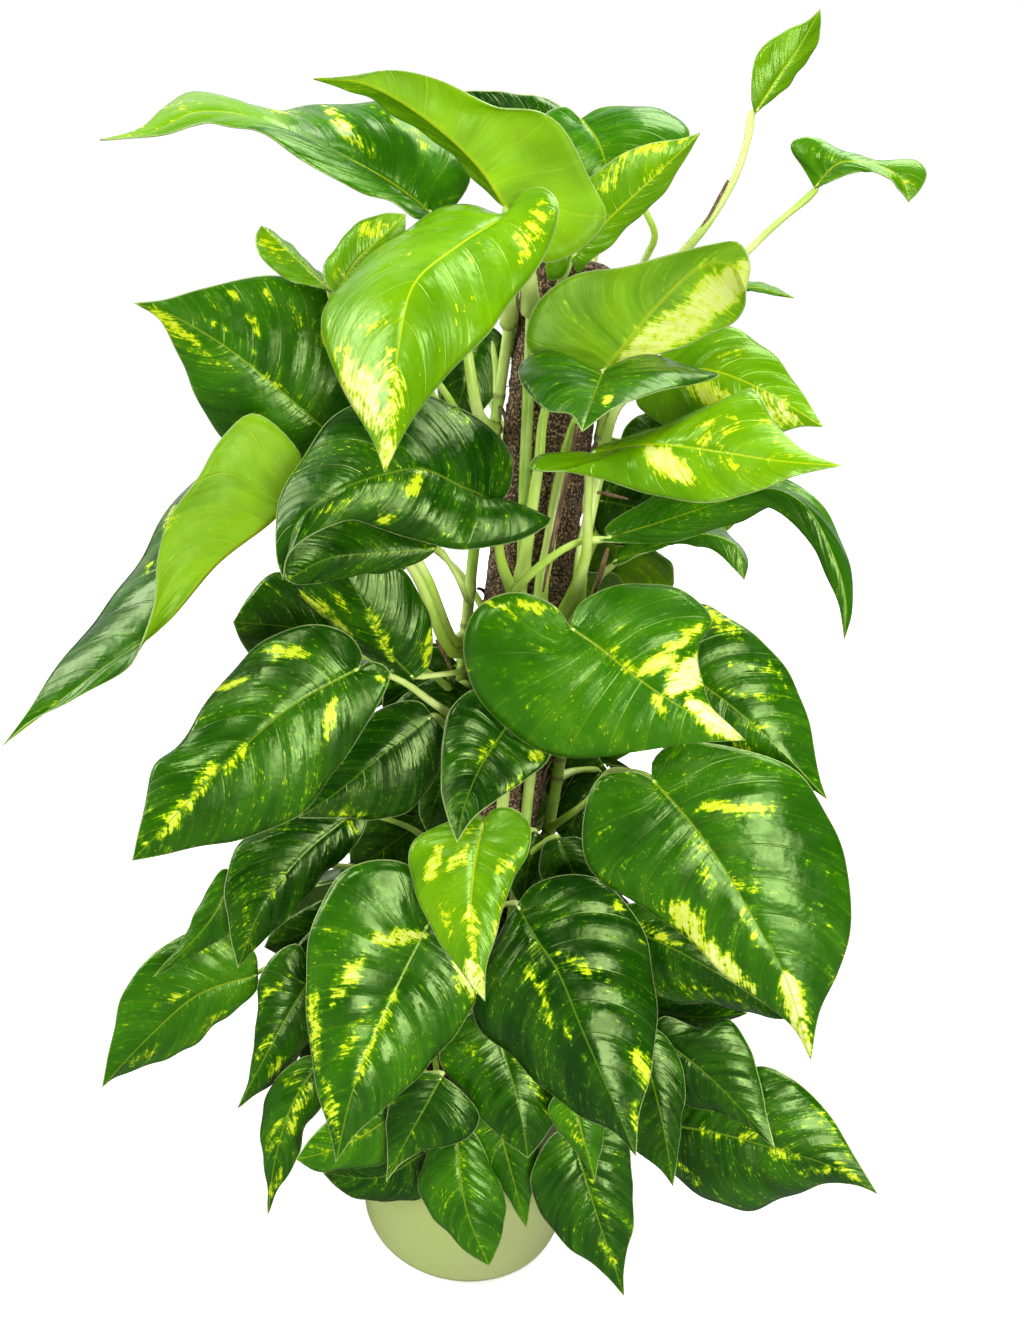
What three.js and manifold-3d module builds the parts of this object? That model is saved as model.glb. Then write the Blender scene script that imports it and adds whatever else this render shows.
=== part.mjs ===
// A potted golden pothos: a round tapered pot with soil, a moss pole, the vine stems that climb
// the pole, and heart-shaped leaves on long petioles all round it. Millimetres, +Z up, the origin
// at the middle of the pot's foot, the front towards -Y.
import * as THREE from "three";
import { mergeVertices } from "three/addons/utils/BufferGeometryUtils.js";
import Module from "manifold-3d";

const wasm = await Module();
wasm.setup();

// Driving dimensions
const POT_FOOT_RADIUS = 77.5;
const POT_RIM_RADIUS = 95;
const POT_HEIGHT = 163;
const POT_WALL = 4;
const POT_FLOOR = 6;
const SOIL_TOP = 141;
const POLE_RADIUS = 28;
const POLE_TOP = 704;
const POLE_FOOT = 20;
const POLE_AXIS = new THREE.Vector2(-10.5, 8);
const STEM_RADIUS = 4.6;
const STEM_FOOT = 96;
const PETIOLE_RADIUS = 2.5;
const PETIOLE_TIP_RADIUS = 1.3;
const BLADE_THICKNESS = 0.8;
const CLEARANCE = 0.4;

// Viewpoint of the reference view, in the frame of a 1024 x 1322 picture. It turns a pixel and a
// distance in front of the pot's middle into a place, so that the leaves stand where they are seen.
const PICTURE_CENTRE = new THREE.Vector2(512, 661);
const FOCAL_PIXELS = 1025;
const EYE = new THREE.Vector3(-10.5, -646, 662.5);
const PITCH = THREE.MathUtils.degToRad(18);
const ROLL = THREE.MathUtils.degToRad(7.2);
const YAW = THREE.MathUtils.degToRad(-0.38);

const forward = new THREE.Vector3(
  Math.sin(YAW) * Math.cos(PITCH),
  Math.cos(YAW) * Math.cos(PITCH),
  -Math.sin(PITCH),
);
const levelRight = new THREE.Vector3(Math.cos(YAW), -Math.sin(YAW), 0);
const levelUp = levelRight.clone().cross(forward);
const viewRight = levelRight.clone().multiplyScalar(Math.cos(ROLL)).addScaledVector(levelUp, Math.sin(ROLL));
const viewUp = levelRight.clone().multiplyScalar(-Math.sin(ROLL)).addScaledVector(levelUp, Math.cos(ROLL));

// The place seen at a pixel, `out` millimetres in front of the pot's middle.
function seen([px, py, out]) {
  const ray = forward.clone()
    .addScaledVector(viewRight, (px - PICTURE_CENTRE.x) / FOCAL_PIXELS)
    .addScaledVector(viewUp, (PICTURE_CENTRE.y - py) / FOCAL_PIXELS);
  return EYE.clone().addScaledVector(ray, (-out - EYE.y) / ray.y);
}

// A place round the pole: azimuth in degrees from the front towards +X.
function around(azimuth, radius, height) {
  const turn = THREE.MathUtils.degToRad(azimuth);
  return new THREE.Vector3(
    POLE_AXIS.x + radius * Math.sin(turn),
    POLE_AXIS.y - radius * Math.cos(turn),
    height,
  );
}

// Materials
function finish(colour, roughness) {
  return new THREE.MeshStandardMaterial({ color: colour, roughness, metalness: 0 });
}

const materials = {
  pot: finish(0xb7c98a, 0.5),
  soil: finish(0x3a2a1e, 0.95),
  pole: finish(0x4a3527, 0.95),
  stem: finish(0x7fa83a, 0.45),
  dark: finish(0x2f6d1c, 0.35),
  lime: finish(0x86c21a, 0.4),
};

// Closed geometries and solids
function solidOf(geometry) {
  const bare = geometry.clone();
  bare.deleteAttribute("normal");
  bare.deleteAttribute("uv");
  const merged = mergeVertices(bare, 1e-4);
  return new wasm.Manifold(new wasm.Mesh({
    numProp: 3,
    vertProperties: Float32Array.from(merged.attributes.position.array),
    triVerts: Uint32Array.from(merged.index.array),
  }));
}

function geometryOf(solid) {
  const mesh = solid.getMesh();
  const geometry = new THREE.BufferGeometry();
  geometry.setAttribute("position", new THREE.BufferAttribute(mesh.vertProperties, 3));
  geometry.setIndex(new THREE.BufferAttribute(mesh.triVerts, 1));
  geometry.computeVertexNormals();
  return geometry;
}

function indexedGeometry(points, triangles) {
  const geometry = new THREE.BufferGeometry().setFromPoints(points);
  geometry.setIndex(triangles);
  return geometry;
}

// A tapered round rod along a curve, closed at both ends.
function rod(curve, radiusAt, steps, sides) {
  const centres = curve.getSpacedPoints(steps);
  const headings = centres.map((_, step) => {
    const before = centres[Math.max(step - 1, 0)];
    const after = centres[Math.min(step + 1, steps)];
    return after.clone().sub(before).normalize();
  });
  const across = new THREE.Vector3(0.6, 0.8, 0).cross(headings[0]).normalize();
  const points = [];
  const triangles = [];
  for (let step = 0; step <= steps; step += 1) {
    if (step > 0) {
      across.applyQuaternion(new THREE.Quaternion().setFromUnitVectors(headings[step - 1], headings[step]));
    }
    const upright = headings[step].clone().cross(across);
    for (let side = 0; side < sides; side += 1) {
      const turn = (side / sides) * Math.PI * 2;
      points.push(centres[step].clone()
        .addScaledVector(across, Math.cos(turn) * radiusAt(step / steps))
        .addScaledVector(upright, Math.sin(turn) * radiusAt(step / steps)));
    }
  }
  const corner = (step, side) => step * sides + (side % sides);
  for (let step = 0; step < steps; step += 1) {
    for (let side = 0; side < sides; side += 1) {
      triangles.push(corner(step, side), corner(step, side + 1), corner(step + 1, side + 1));
      triangles.push(corner(step, side), corner(step + 1, side + 1), corner(step + 1, side));
    }
  }
  for (let side = 1; side < sides - 1; side += 1) {
    triangles.push(corner(0, 0), corner(0, side + 1), corner(0, side));
    triangles.push(corner(steps, 0), corner(steps, side), corner(steps, side + 1));
  }
  return indexedGeometry(points, triangles);
}

// Pot, soil and pole
function potGeometry() {
  const foot = 5;
  const wallTop = new THREE.Vector2(POT_RIM_RADIUS, POT_HEIGHT - 2);
  const profile = [
    new THREE.Vector2(0, 0),
    new THREE.Vector2(POT_FOOT_RADIUS - foot, 0),
    new THREE.Vector2(POT_FOOT_RADIUS - foot * 0.3, foot * 0.3),
    new THREE.Vector2(POT_FOOT_RADIUS + 0.3, foot),
    wallTop,
    new THREE.Vector2(POT_RIM_RADIUS - POT_WALL / 2, POT_HEIGHT),
    new THREE.Vector2(POT_RIM_RADIUS - POT_WALL, POT_HEIGHT - 2),
    new THREE.Vector2(POT_FOOT_RADIUS - POT_WALL, POT_FLOOR),
    new THREE.Vector2(0, POT_FLOOR),
  ];
  return new THREE.LatheGeometry(profile, 40).rotateX(Math.PI / 2);
}

function poleGeometry(spare) {
  const top = POLE_TOP - POLE_FOOT;
  const profile = [
    new THREE.Vector2(0, 0),
    new THREE.Vector2(POLE_RADIUS + spare, 0),
    new THREE.Vector2(POLE_RADIUS + spare, top - 9),
    new THREE.Vector2(POLE_RADIUS - 3, top - 2.5),
    new THREE.Vector2(POLE_RADIUS - 9, top),
    new THREE.Vector2(0, top),
  ];
  const lathe = new THREE.LatheGeometry(profile, 20).rotateX(Math.PI / 2);
  return lathe.translate(POLE_AXIS.x, POLE_AXIS.y, POLE_FOOT);
}

// Soil, uneven on top, with plain holes for the pole and the stems
function soilSolid(inHoles) {
  const wallAt = (height) => {
    const share = (height - POT_FLOOR) / (POT_HEIGHT - 2 - POT_FLOOR);
    return POT_FOOT_RADIUS + share * (POT_RIM_RADIUS - POT_FOOT_RADIUS) - POT_WALL - CLEARANCE;
  };
  const bottom = POT_FLOOR + CLEARANCE;
  const profile = [
    new THREE.Vector2(0, bottom),
    new THREE.Vector2(wallAt(bottom), bottom),
    new THREE.Vector2(wallAt(SOIL_TOP - 4), SOIL_TOP - 4),
    new THREE.Vector2(70, SOIL_TOP - 1),
    new THREE.Vector2(48, SOIL_TOP),
    new THREE.Vector2(0, SOIL_TOP),
  ];
  const geometry = new THREE.LatheGeometry(profile, 32).rotateX(Math.PI / 2);
  const place = geometry.attributes.position;
  for (let index = 0; index < place.count; index += 1) {
    const radius = Math.hypot(place.getX(index), place.getY(index));
    if (place.getZ(index) > SOIL_TOP - 3 && radius > 1) {
      const turn = Math.atan2(place.getY(index), place.getX(index));
      place.setZ(index, place.getZ(index) + 1.5 * Math.sin(5 * turn + radius) * Math.sin(2 * turn));
    }
  }
  return inHoles.reduce((soil, hole) => soil.subtract(hole), solidOf(geometry));
}

// Stems: each hugs the pole, and its points are azimuth, radius and height
const AGAINST_POLE = POLE_RADIUS + STEM_RADIUS + CLEARANCE;
const stemPlans = {
  stem_front: [
    [8, 44, STEM_FOOT], [4, 40, 150], [2, AGAINST_POLE, 220], [6, AGAINST_POLE, 300],
    [0, AGAINST_POLE, 400], [-7, AGAINST_POLE, 507], [-19, AGAINST_POLE, 581],
    [-27, AGAINST_POLE, 633], [-36, AGAINST_POLE, 686],
  ],
  stem_front_right: [
    [40, 48, STEM_FOOT], [40, 42, 150], [36, AGAINST_POLE, 240], [34, AGAINST_POLE, 340],
    [30, AGAINST_POLE, 430], [33, AGAINST_POLE, 480],
  ],
  stem_left: [
    [-70, 46, STEM_FOOT], [-72, 42, 150], [-76, AGAINST_POLE + 1, 250], [-84, AGAINST_POLE + 2, 360],
    [-92, 37, 450], [-94, 38, 530], [-90, AGAINST_POLE + 0.5, 603], [-66, AGAINST_POLE, 690],
  ],
  stem_right: [
    [100, 48, STEM_FOOT], [98, 42, 150], [90, AGAINST_POLE, 240], [88, 36, 330],
    [84, 37, 380], [92, AGAINST_POLE, 470], [88, AGAINST_POLE, 560], [78, AGAINST_POLE, 684],
  ],
  stem_back_left: [
    [-132, 46, STEM_FOOT], [-134, 42, 150], [-138, AGAINST_POLE, 260], [-132, AGAINST_POLE, 380],
    [-140, AGAINST_POLE, 500], [-134, AGAINST_POLE, 610], [-138, AGAINST_POLE, 680],
  ],
  stem_back: [
    [178, 46, STEM_FOOT], [180, 42, 150], [184, AGAINST_POLE, 270], [176, AGAINST_POLE, 400],
    [182, AGAINST_POLE, 530], [176, AGAINST_POLE, 650],
  ],
  stem_back_right: [
    [140, 46, STEM_FOOT], [138, 42, 150], [134, AGAINST_POLE, 260], [138, AGAINST_POLE, 390],
    [132, AGAINST_POLE, 500], [136, AGAINST_POLE, 600],
  ],
};

const stems = Object.fromEntries(Object.entries(stemPlans).map(([name, plan]) => {
  const points = plan.map(([azimuth, radius, height]) => around(azimuth, radius, height));
  return [name, new THREE.CatmullRomCurve3(points, false, "centripetal")];
}));

const STEM_STEPS = 14;
const STEM_SIDES = 6;

function stemSolid(name, spare) {
  const radiusAt = (share) => STEM_RADIUS - 1.2 * share + spare;
  return solidOf(rod(stems[name], radiusAt, STEM_STEPS, STEM_SIDES));
}

// The place on a stem's middle line at a height.
function stemAt(name, height) {
  let low = 0;
  let high = 1;
  for (let round = 0; round < 24; round += 1) {
    const middle = (low + high) / 2;
    if (stems[name].getPoint(middle).z < height) low = middle;
    else high = middle;
  }
  return stems[name].getPoint(low);
}

// Blades. Rows of points follow the side veins from the rib to the edges. They start close
// together at the notch, where the petiole joins, and end at the tip. Each vein leaves the rib
// sideways, and then curves towards the tip, or in the lobes back past the notch.
const VEIN_SWEEP = 1.6;
const HALF_DOME = 0.1;
const LOBE_SPREAD = 0.35;

function bladeRows(ribPoints, edgeAPoints, edgeBPoints, rowCount, withMiddles) {
  const base = ribPoints[0];
  const tip = ribPoints[ribPoints.length - 1];
  const rib = new THREE.CatmullRomCurve3(ribPoints, false, "centripetal");
  const edges = [edgeAPoints, edgeBPoints].map((points) => (
    new THREE.CatmullRomCurve3([base, ...points, tip], false, "centripetal")
  ));
  const sideOf = (edge, share) => {
    const along = rib.getTangentAt(share ** VEIN_SWEEP);
    const across = edge.getPointAt(share).sub(rib.getPointAt(share ** VEIN_SWEEP));
    return across.addScaledVector(along, -across.dot(along));
  };
  const rows = [];
  for (let row = 1; row < rowCount; row += 1) {
    const share = row / rowCount;
    const onRib = rib.getPointAt(share ** VEIN_SWEEP);
    const along = rib.getTangentAt(share ** VEIN_SWEEP);
    const [[edgeA, middleA], [edgeB, middleB]] = edges.map((edge, index) => {
      const onEdge = edge.getPointAt(share);
      const across = onEdge.clone().sub(onRib);
      const ahead = across.dot(along);
      let sideways = sideOf(edge, share);
      if (sideways.length() < -0.6 * ahead) {
        sideways = sideOf(edge, 0.45);
        sideways.addScaledVector(along, -sideways.dot(along));
      }
      sideways.normalize();
      const reach = across.dot(sideways);
      const upward = (index === 0 ? along.clone().cross(sideways) : sideways.clone().cross(along)).normalize();
      const rise = across.dot(upward);
      const middle = onRib.clone()
        .addScaledVector(sideways, Math.max(0.525 * reach, -LOBE_SPREAD * ahead))
        .addScaledVector(along, (ahead > 0 ? 0.375 : 0.25) * ahead + (row === 1 ? 0.14 * Math.abs(reach) : 0))
        .addScaledVector(upward, 0.5 * rise + HALF_DOME * Math.abs(reach) * Math.sin(Math.PI * share));
      return [onEdge, middle];
    });
    rows.push(withMiddles ? [edgeA, middleA, onRib, middleB, edgeB] : [edgeA, onRib, edgeB]);
  }
  return { base, tip, rib, rows };
}

function bladeFaces(rowLength, rowTotal) {
  const triangles = [];
  const at = (row, column) => 1 + row * rowLength + column;
  const tip = 1 + rowTotal * rowLength;
  for (let column = 0; column < rowLength - 1; column += 1) {
    triangles.push([0, at(0, column + 1), at(0, column)]);
    triangles.push([tip, at(rowTotal - 1, column), at(rowTotal - 1, column + 1)]);
    for (let row = 0; row < rowTotal - 1; row += 1) {
      const [a, b] = [at(row, column), at(row, column + 1)];
      const [c, d] = [at(row + 1, column), at(row + 1, column + 1)];
      const outwardFirst = (column < rowLength / 2 - 1) === (row > 0);
      if (outwardFirst) triangles.push([a, b, d], [a, d, c]);
      else triangles.push([a, b, c], [b, d, c]);
    }
  }
  const rim = [0];
  for (let row = 0; row < rowTotal; row += 1) rim.push(at(row, 0));
  rim.push(tip);
  for (let row = rowTotal - 1; row >= 0; row -= 1) rim.push(at(row, rowLength - 1));
  return { triangles, rim };
}

function faceNormals(points, triangles) {
  const normals = points.map(() => new THREE.Vector3());
  for (const [a, b, c] of triangles) {
    const normal = points[b].clone().sub(points[a]).cross(points[c].clone().sub(points[a])).normalize();
    [a, b, c].forEach((corner) => normals[corner].add(normal));
  }
  return normals.map((normal) => normal.normalize());
}

// Half the thickness at each point, longer where the blade folds, so that it stays as thick there.
const SHARPEST_FOLD = 0.4;

function skinOffsets(points, triangles) {
  const normals = faceNormals(points, triangles);
  const flatness = points.map(() => 1);
  for (const [a, b, c] of triangles) {
    const normal = points[b].clone().sub(points[a]).cross(points[c].clone().sub(points[a])).normalize();
    [a, b, c].forEach((corner) => {
      flatness[corner] = Math.min(flatness[corner], Math.max(normal.dot(normals[corner]), SHARPEST_FOLD));
    });
  }
  return normals.map((normal, index) => normal.multiplyScalar(BLADE_THICKNESS / 2 / flatness[index]));
}

function bladeGeometry({ base, tip, rows }) {
  const points = [base, ...rows.flat(), tip];
  const { triangles, rim } = bladeFaces(rows[0].length, rows.length);
  const offsets = skinOffsets(points, triangles);
  const upper = points.map((point, index) => point.clone().add(offsets[index]));
  const lower = points.map((point, index) => point.clone().sub(offsets[index]));
  const under = points.length;
  const faces = [];
  for (const [a, b, c] of triangles) faces.push(a, b, c, under + a, under + c, under + b);
  rim.forEach((start, index) => {
    const end = rim[(index + 1) % rim.length];
    faces.push(start, end, under + end, start, under + end, under + start);
  });
  return indexedGeometry([...upper, ...lower], faces);
}

// The direction that the upper face looks in, summed over the blade.
function bladeFacing({ base, tip, rows }) {
  const points = [base, ...rows.flat(), tip];
  const { triangles } = bladeFaces(rows[0].length, rows.length);
  const total = new THREE.Vector3();
  faceNormals(points, triangles).forEach((normal) => total.add(normal));
  return total.normalize();
}

// Petiole: leaves its stem upwards, bends over and joins the blade's underside at the notch
const PETIOLE_STEPS = 4;
const PETIOLE_SIDES = 4;
const RIB_HOLD = 3;

function petioleGeometry(leaf, blade, facing) {
  const start = stemAt(leaf.stem, leaf.joint);
  const reach = start.distanceTo(blade.base);
  const end = blade.rib.getPointAt(RIB_HOLD / blade.rib.getLength());
  const below = blade.base.clone().addScaledVector(facing, -3);
  const bend = start.clone().lerp(blade.base, 0.42).add(new THREE.Vector3(0, 0, 0.1 * reach));
  const route = leaf.via ? [start, ...leaf.via.map(seen), below, end] : [start, bend, below, end];
  const curve = new THREE.CatmullRomCurve3(route, false, "centripetal");
  const radiusAt = (share) => PETIOLE_RADIUS + (PETIOLE_TIP_RADIUS - PETIOLE_RADIUS) * share;
  const steps = PETIOLE_STEPS + (leaf.via?.length ?? 0);
  return rod(curve, radiusAt, steps, PETIOLE_SIDES);
}

// Leaves that the reference view shows. rib runs from the notch to the tip, and edgeA and edgeB
// from the notch round each lobe to the tip, as pixels; a third number is millimetres in front of
// the pot's middle. behind says how many millimetres each edge lies behind the rib.
const seenLeaves = [
  {
    name: "leaf_crown_front", tone: "lime", stem: "stem_left", joint: 664,
    via: [[507, 264, 50]],
    rib: [[510, 213, 84], [455, 247, 112], [413, 285, 134], [398, 350, 146], [385, 472, 156]],
    edgeA: [[497, 214], [470, 206], [420, 218], [366, 258], [332, 303], [326, 352], [350, 404], [376, 446]],
    edgeB: [[518, 198], [540, 188], [558, 205], [547, 253], [505, 309], [471, 351], [430, 397], [399, 442]],
    behind: [30, 8],
  },
  {
    name: "leaf_crown_raised", tone: "lime", under: true, stem: "stem_front", joint: 672,
    via: [[526, 258, 44]],
    rib: [[508, 211, 70], [478, 166, 68], [425, 118, 70], [365, 84, 74], [314, 79, 76]],
    edgeA: [[540, 262], [580, 250], [607, 218], [590, 180], [557, 123], [500, 107], [440, 80], [392, 70], [352, 78]],
    edgeB: [[490, 195], [458, 160], [417, 131], [376, 100], [345, 90]],
    behind: [-2, 20],
  },
  {
    name: "leaf_upper_left", tone: "dark", stem: "stem_left", joint: 600,
    via: [[478, 412, 30], [466, 345, 42], [448, 270, 46]],
    rib: [[434, 214, 48], [385, 178, 62], [320, 145, 76], [250, 116, 86], [195, 112, 92], [150, 133, 98], [100, 140, 102]],
    edgeA: [[453, 208], [471, 173], [440, 122], [398, 106], [319, 107], [255, 106], [193, 94], [165, 108], [142, 129]],
    edgeB: [[417, 219], [386, 197], [340, 184], [294, 156], [248, 125], [215, 120], [185, 131], [148, 138]],
    behind: [34, -24],
  },
  {
    name: "leaf_crown_dark", tone: "dark", stem: "stem_right", joint: 634,
    via: [[644, 262, -10], [655, 236, -2], [646, 212, 4], [618, 152, 8]],
    rib: [[581, 119, 8], [597, 140, 18], [606, 165, 26], [612, 200, 34]],
    edgeA: [[566, 107], [545, 114], [540, 140], [560, 170], [588, 192]],
    edgeB: [[600, 108], [640, 107], [680, 120], [690, 136], [668, 165], [636, 190]],
    behind: [10, 10],
  },
  {
    name: "leaf_crown_right", tone: "lime", stem: "stem_front", joint: 630,
    rib: [[572, 257, 40], [609, 219, 46], [655, 176, 54], [700, 133, 60]],
    edgeA: [[563, 277], [549, 280], [546, 255], [562, 210], [589, 177], [619, 158], [648, 144], [680, 139]],
    edgeB: [[577, 273], [590, 261], [608, 246], [630, 226], [653, 205], [674, 176], [690, 151]],
    behind: [8, 6],
  },
  {
    name: "leaf_small_left", small: true, tone: "lime", stem: "stem_left", joint: 560,
    rib: [[331, 291, 66], [300, 262, 60], [278, 242, 57], [261, 226, 55]],
    edgeA: [[316, 287], [290, 281], [270, 267], [257, 251], [256, 235]],
    edgeB: [[327, 281], [305, 259], [285, 241], [271, 230]],
    behind: [-4, 10],
  },
  {
    name: "leaf_small_upright", small: true, tone: "lime", stem: "stem_left", joint: 575,
    rib: [[336, 294, 76], [356, 262, 74], [385, 234, 72], [406, 214, 70]],
    edgeA: [[326, 283], [324, 266], [343, 238], [360, 222], [386, 213]],
    edgeB: [[350, 294], [374, 280], [392, 260], [404, 238]],
    behind: [2, 4],
  },
  {
    name: "leaf_left_flecked", tone: "dark", stem: "stem_left", joint: 462,
    via: [[452, 640, 16], [424, 572, 32], [384, 506, 42]],
    rib: [[338, 441, 50], [300, 408, 56], [230, 350, 64], [175, 317, 68], [134, 303, 70]],
    edgeA: [[362, 432], [378, 395], [368, 340], [332, 290], [280, 277], [240, 278], [201, 289], [163, 300]],
    edgeB: [[325, 458], [290, 458], [240, 450], [214, 425], [196, 395], [180, 362], [160, 320]],
    behind: [12, 4],
  },
  {
    name: "leaf_left_hanging", tone: "lime", stem: "stem_left", joint: 452, rows: 11,
    via: [[448, 648, 26], [410, 566, 52], [356, 516, 70]],
    rib: [[300, 479, 84], [275, 516, 92], [218, 562, 100], [162, 626, 110], [100, 670, 120], [3, 745, 132]],
    edgeA: [
      [301, 455, 80], [254, 413, 84], [222, 437, 92], [197, 477, 98], [172, 515, 104], [158, 560, 110],
      [152, 612, 116], [128, 662, 124], [76, 699, 126], [30, 722, 130],
    ],
    edgeB: [
      [276, 470, 58], [236, 450, 42], [194, 478, 44], [164, 525, 54], [132, 572, 66],
      [107, 602, 78], [80, 634, 94], [53, 675, 112], [29, 710, 126],
    ],
    behind: [0, 0],
  },
  {
    name: "leaf_left_broad", tone: "dark", stem: "stem_front", joint: 500, rows: 9,
    via: [[512, 590, 42], [500, 556, 58]],
    rib: [[500, 503, 84], [465, 488, 98], [422, 469, 112], [385, 474, 122], [335, 492, 128], [298, 522, 128], [283, 580, 118]],
    edgeA: [[510, 486], [511, 452], [478, 418], [430, 397], [382, 394], [335, 414], [300, 460], [280, 506], [276, 555]],
    edgeB: [[524, 507], [552, 519], [521, 540], [467, 548], [416, 541], [376, 528], [350, 521], [313, 534], [288, 556]],
    behind: [24, -4],
  },
  {
    name: "leaf_left_under", small: true, tone: "dark", stem: "stem_left", joint: 496,
    via: [[468, 600, 44], [456, 574, 62]],
    rib: [[437, 548, 86], [385, 553, 92], [330, 558, 96], [286, 580, 98]],
    edgeA: [[432, 536], [400, 524], [350, 512], [305, 530], [284, 556]],
    edgeB: [[424, 560], [376, 573], [323, 581], [298, 585]],
    behind: [12, 2],
  },
  {
    name: "leaf_left_middle", tone: "dark", stem: "stem_left", joint: 440,
    via: [[452, 673, 40]],
    rib: [[414, 679, 62], [388, 650, 68], [362, 600, 74], [330, 548, 80]],
    edgeA: [[428, 668], [432, 645], [428, 612], [408, 575], [370, 545], [345, 540]],
    edgeB: [[402, 671], [358, 650], [322, 618], [294, 584], [296, 558], [312, 546]],
    behind: [8, 4],
  },
  {
    name: "leaf_left_pointed", small: true, tone: "dark", stem: "stem_left", joint: 420,
    rib: [[352, 656, 46], [335, 640, 46], [288, 627, 48], [233, 622, 50]],
    edgeA: [[345, 630], [315, 590], [276, 572], [250, 594]],
    edgeB: [[340, 668], [295, 668], [262, 662], [243, 646]],
    behind: [6, 4],
  },
  {
    name: "leaf_left_front", tone: "dark", stem: "stem_left", joint: 404,
    via: [[432, 702, 62], [396, 678, 86]],
    rib: [[359, 668, 100], [293, 705, 118], [240, 750, 130], [190, 800, 140], [132, 861, 148]],
    edgeA: [[362, 654], [346, 633], [308, 625], [264, 640], [229, 672], [205, 710], [176, 748], [153, 766], [141, 821]],
    edgeB: [[370, 661], [390, 671], [378, 704], [350, 752], [318, 795], [279, 824], [235, 841], [176, 852]],
    behind: [14, 8],
  },
  {
    name: "leaf_left_shaded", small: true, tone: "dark", stem: "stem_left", joint: 378,
    rib: [[432, 716, 56], [385, 752, 66], [340, 790, 74], [299, 818, 80]],
    edgeA: [[420, 702], [390, 704], [355, 728], [325, 765], [303, 800]],
    edgeB: [[446, 734], [439, 772], [414, 805], [378, 820], [340, 818]],
    behind: [8, 4],
  },
  {
    name: "leaf_right_raised", tone: "lime", under: true, stem: "stem_front_right", joint: 458, rows: 9,
    via: [[541, 592, 31], [549, 545, 33], [561, 470, 36], [577, 418, 44]],
    rib: [[603, 373, 62], [655, 308, 64], [703, 266, 68], [732, 266, 76], [746, 291, 84]],
    edgeA: [
      [590, 370, 58], [552, 361, 56], [527, 347, 58], [534, 308, 60], [568, 278, 60], [622, 267, 60],
      [678, 252, 64], [712, 244, 70], [738, 242, 76], [750, 264, 82],
    ],
    edgeB: [[617, 367, 62], [645, 358, 64], [680, 347, 66], [712, 334, 68], [736, 321, 72], [744, 306, 78]],
    behind: [0, 0],
  },
  {
    name: "leaf_right_speckled", tone: "dark", stem: "stem_front", joint: 514,
    via: [[538, 470, 37], [549, 402, 42]],
    rib: [[603, 372, 74], [599, 382, 96], [591, 404, 122], [582, 432, 142]],
    edgeA: [[590, 367, 66], [552, 350, 62], [524, 362, 68], [521, 382, 88], [546, 410, 112], [572, 416, 130]],
    edgeB: [[614, 365, 66], [650, 353, 64], [684, 366, 72], [718, 377, 92], [668, 389, 112], [614, 409, 130]],
    behind: [0, 0],
  },
  {
    name: "leaf_right_pale", tone: "lime", stem: "stem_front_right", joint: 466,
    via: [[573, 622, 33], [583, 548, 35], [600, 472, 38], [617, 408, 40]],
    rib: [[645, 383, 42], [700, 369, 48], [755, 386, 54], [823, 427, 58]],
    edgeA: [[652, 362], [672, 347], [694, 337], [724, 326], [764, 345], [793, 381], [813, 410]],
    edgeB: [[636, 402], [655, 420], [690, 432], [730, 440], [768, 436], [800, 427]],
    behind: [8, 4],
  },
  {
    name: "leaf_right_front", tone: "lime", stem: "stem_front_right", joint: 476,
    via: [[585, 560, 62], [588, 500, 80]],
    rib: [[590, 452, 92], [650, 444, 102], [720, 452, 112], [780, 461, 120], [842, 466, 124]],
    edgeA: [[604, 444], [640, 437], [685, 423], [721, 401], [748, 388], [775, 424], [802, 449]],
    edgeB: [[566, 452], [536, 456], [529, 468], [560, 471], [600, 479], [654, 496], [708, 502], [755, 492], [796, 476]],
    behind: [20, -4],
  },
  {
    name: "leaf_right_arched", tone: "dark", stem: "stem_front", joint: 486, rows: 9,
    via: [[518, 588, 50], [575, 543, 54]],
    rib: [[606, 538, 56], [660, 522, 66], [720, 502, 76], [772, 488, 86], [806, 506, 92], [836, 562, 96], [846, 604, 98], [844, 640, 98]],
    edgeA: [[606, 527], [640, 505], [690, 484], [740, 472], [786, 478], [824, 512], [849, 560], [853, 608]],
    edgeB: [[600, 541], [640, 543], [690, 537], [740, 523], [782, 506], [802, 526], [825, 574], [839, 606]],
    behind: [16, 2],
  },
  {
    name: "leaf_right_narrow", small: true, tone: "dark", stem: "stem_right", joint: 452,
    via: [[590, 602, 18], [602, 575, 28]],
    rib: [[612, 562, 36], [655, 546, 42], [705, 534, 48], [737, 547, 52], [744, 580, 54]],
    edgeA: [[622, 548], [665, 532], [708, 522], [734, 538], [748, 560]],
    edgeB: [[616, 566], [650, 551], [690, 543], [717, 553], [732, 567]],
    behind: [26, -3],
  },
  {
    name: "leaf_middle_front", tone: "dark", stem: "stem_front", joint: 446,
    rib: [[570, 627, 92], [600, 648, 100], [640, 680, 108], [684, 709, 115], [745, 740, 122]],
    edgeA: [[556, 607], [515, 592], [478, 607], [462, 645], [475, 690], [510, 730], [552, 753], [590, 760], [640, 751], [692, 743]],
    edgeB: [[579, 605], [615, 586], [655, 583], [690, 596], [710, 619], [700, 642], [703, 680], [710, 705], [728, 724]],
    behind: [8, 14],
  },
  {
    name: "leaf_right_flecked", tone: "dark", stem: "stem_right", joint: 420,
    rib: [[652, 655, 66], [710, 690, 76], [770, 740, 86], [827, 799, 92]],
    edgeA: [[662, 630], [700, 603], [735, 622], [775, 655], [803, 698], [813, 745], [820, 780]],
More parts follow.
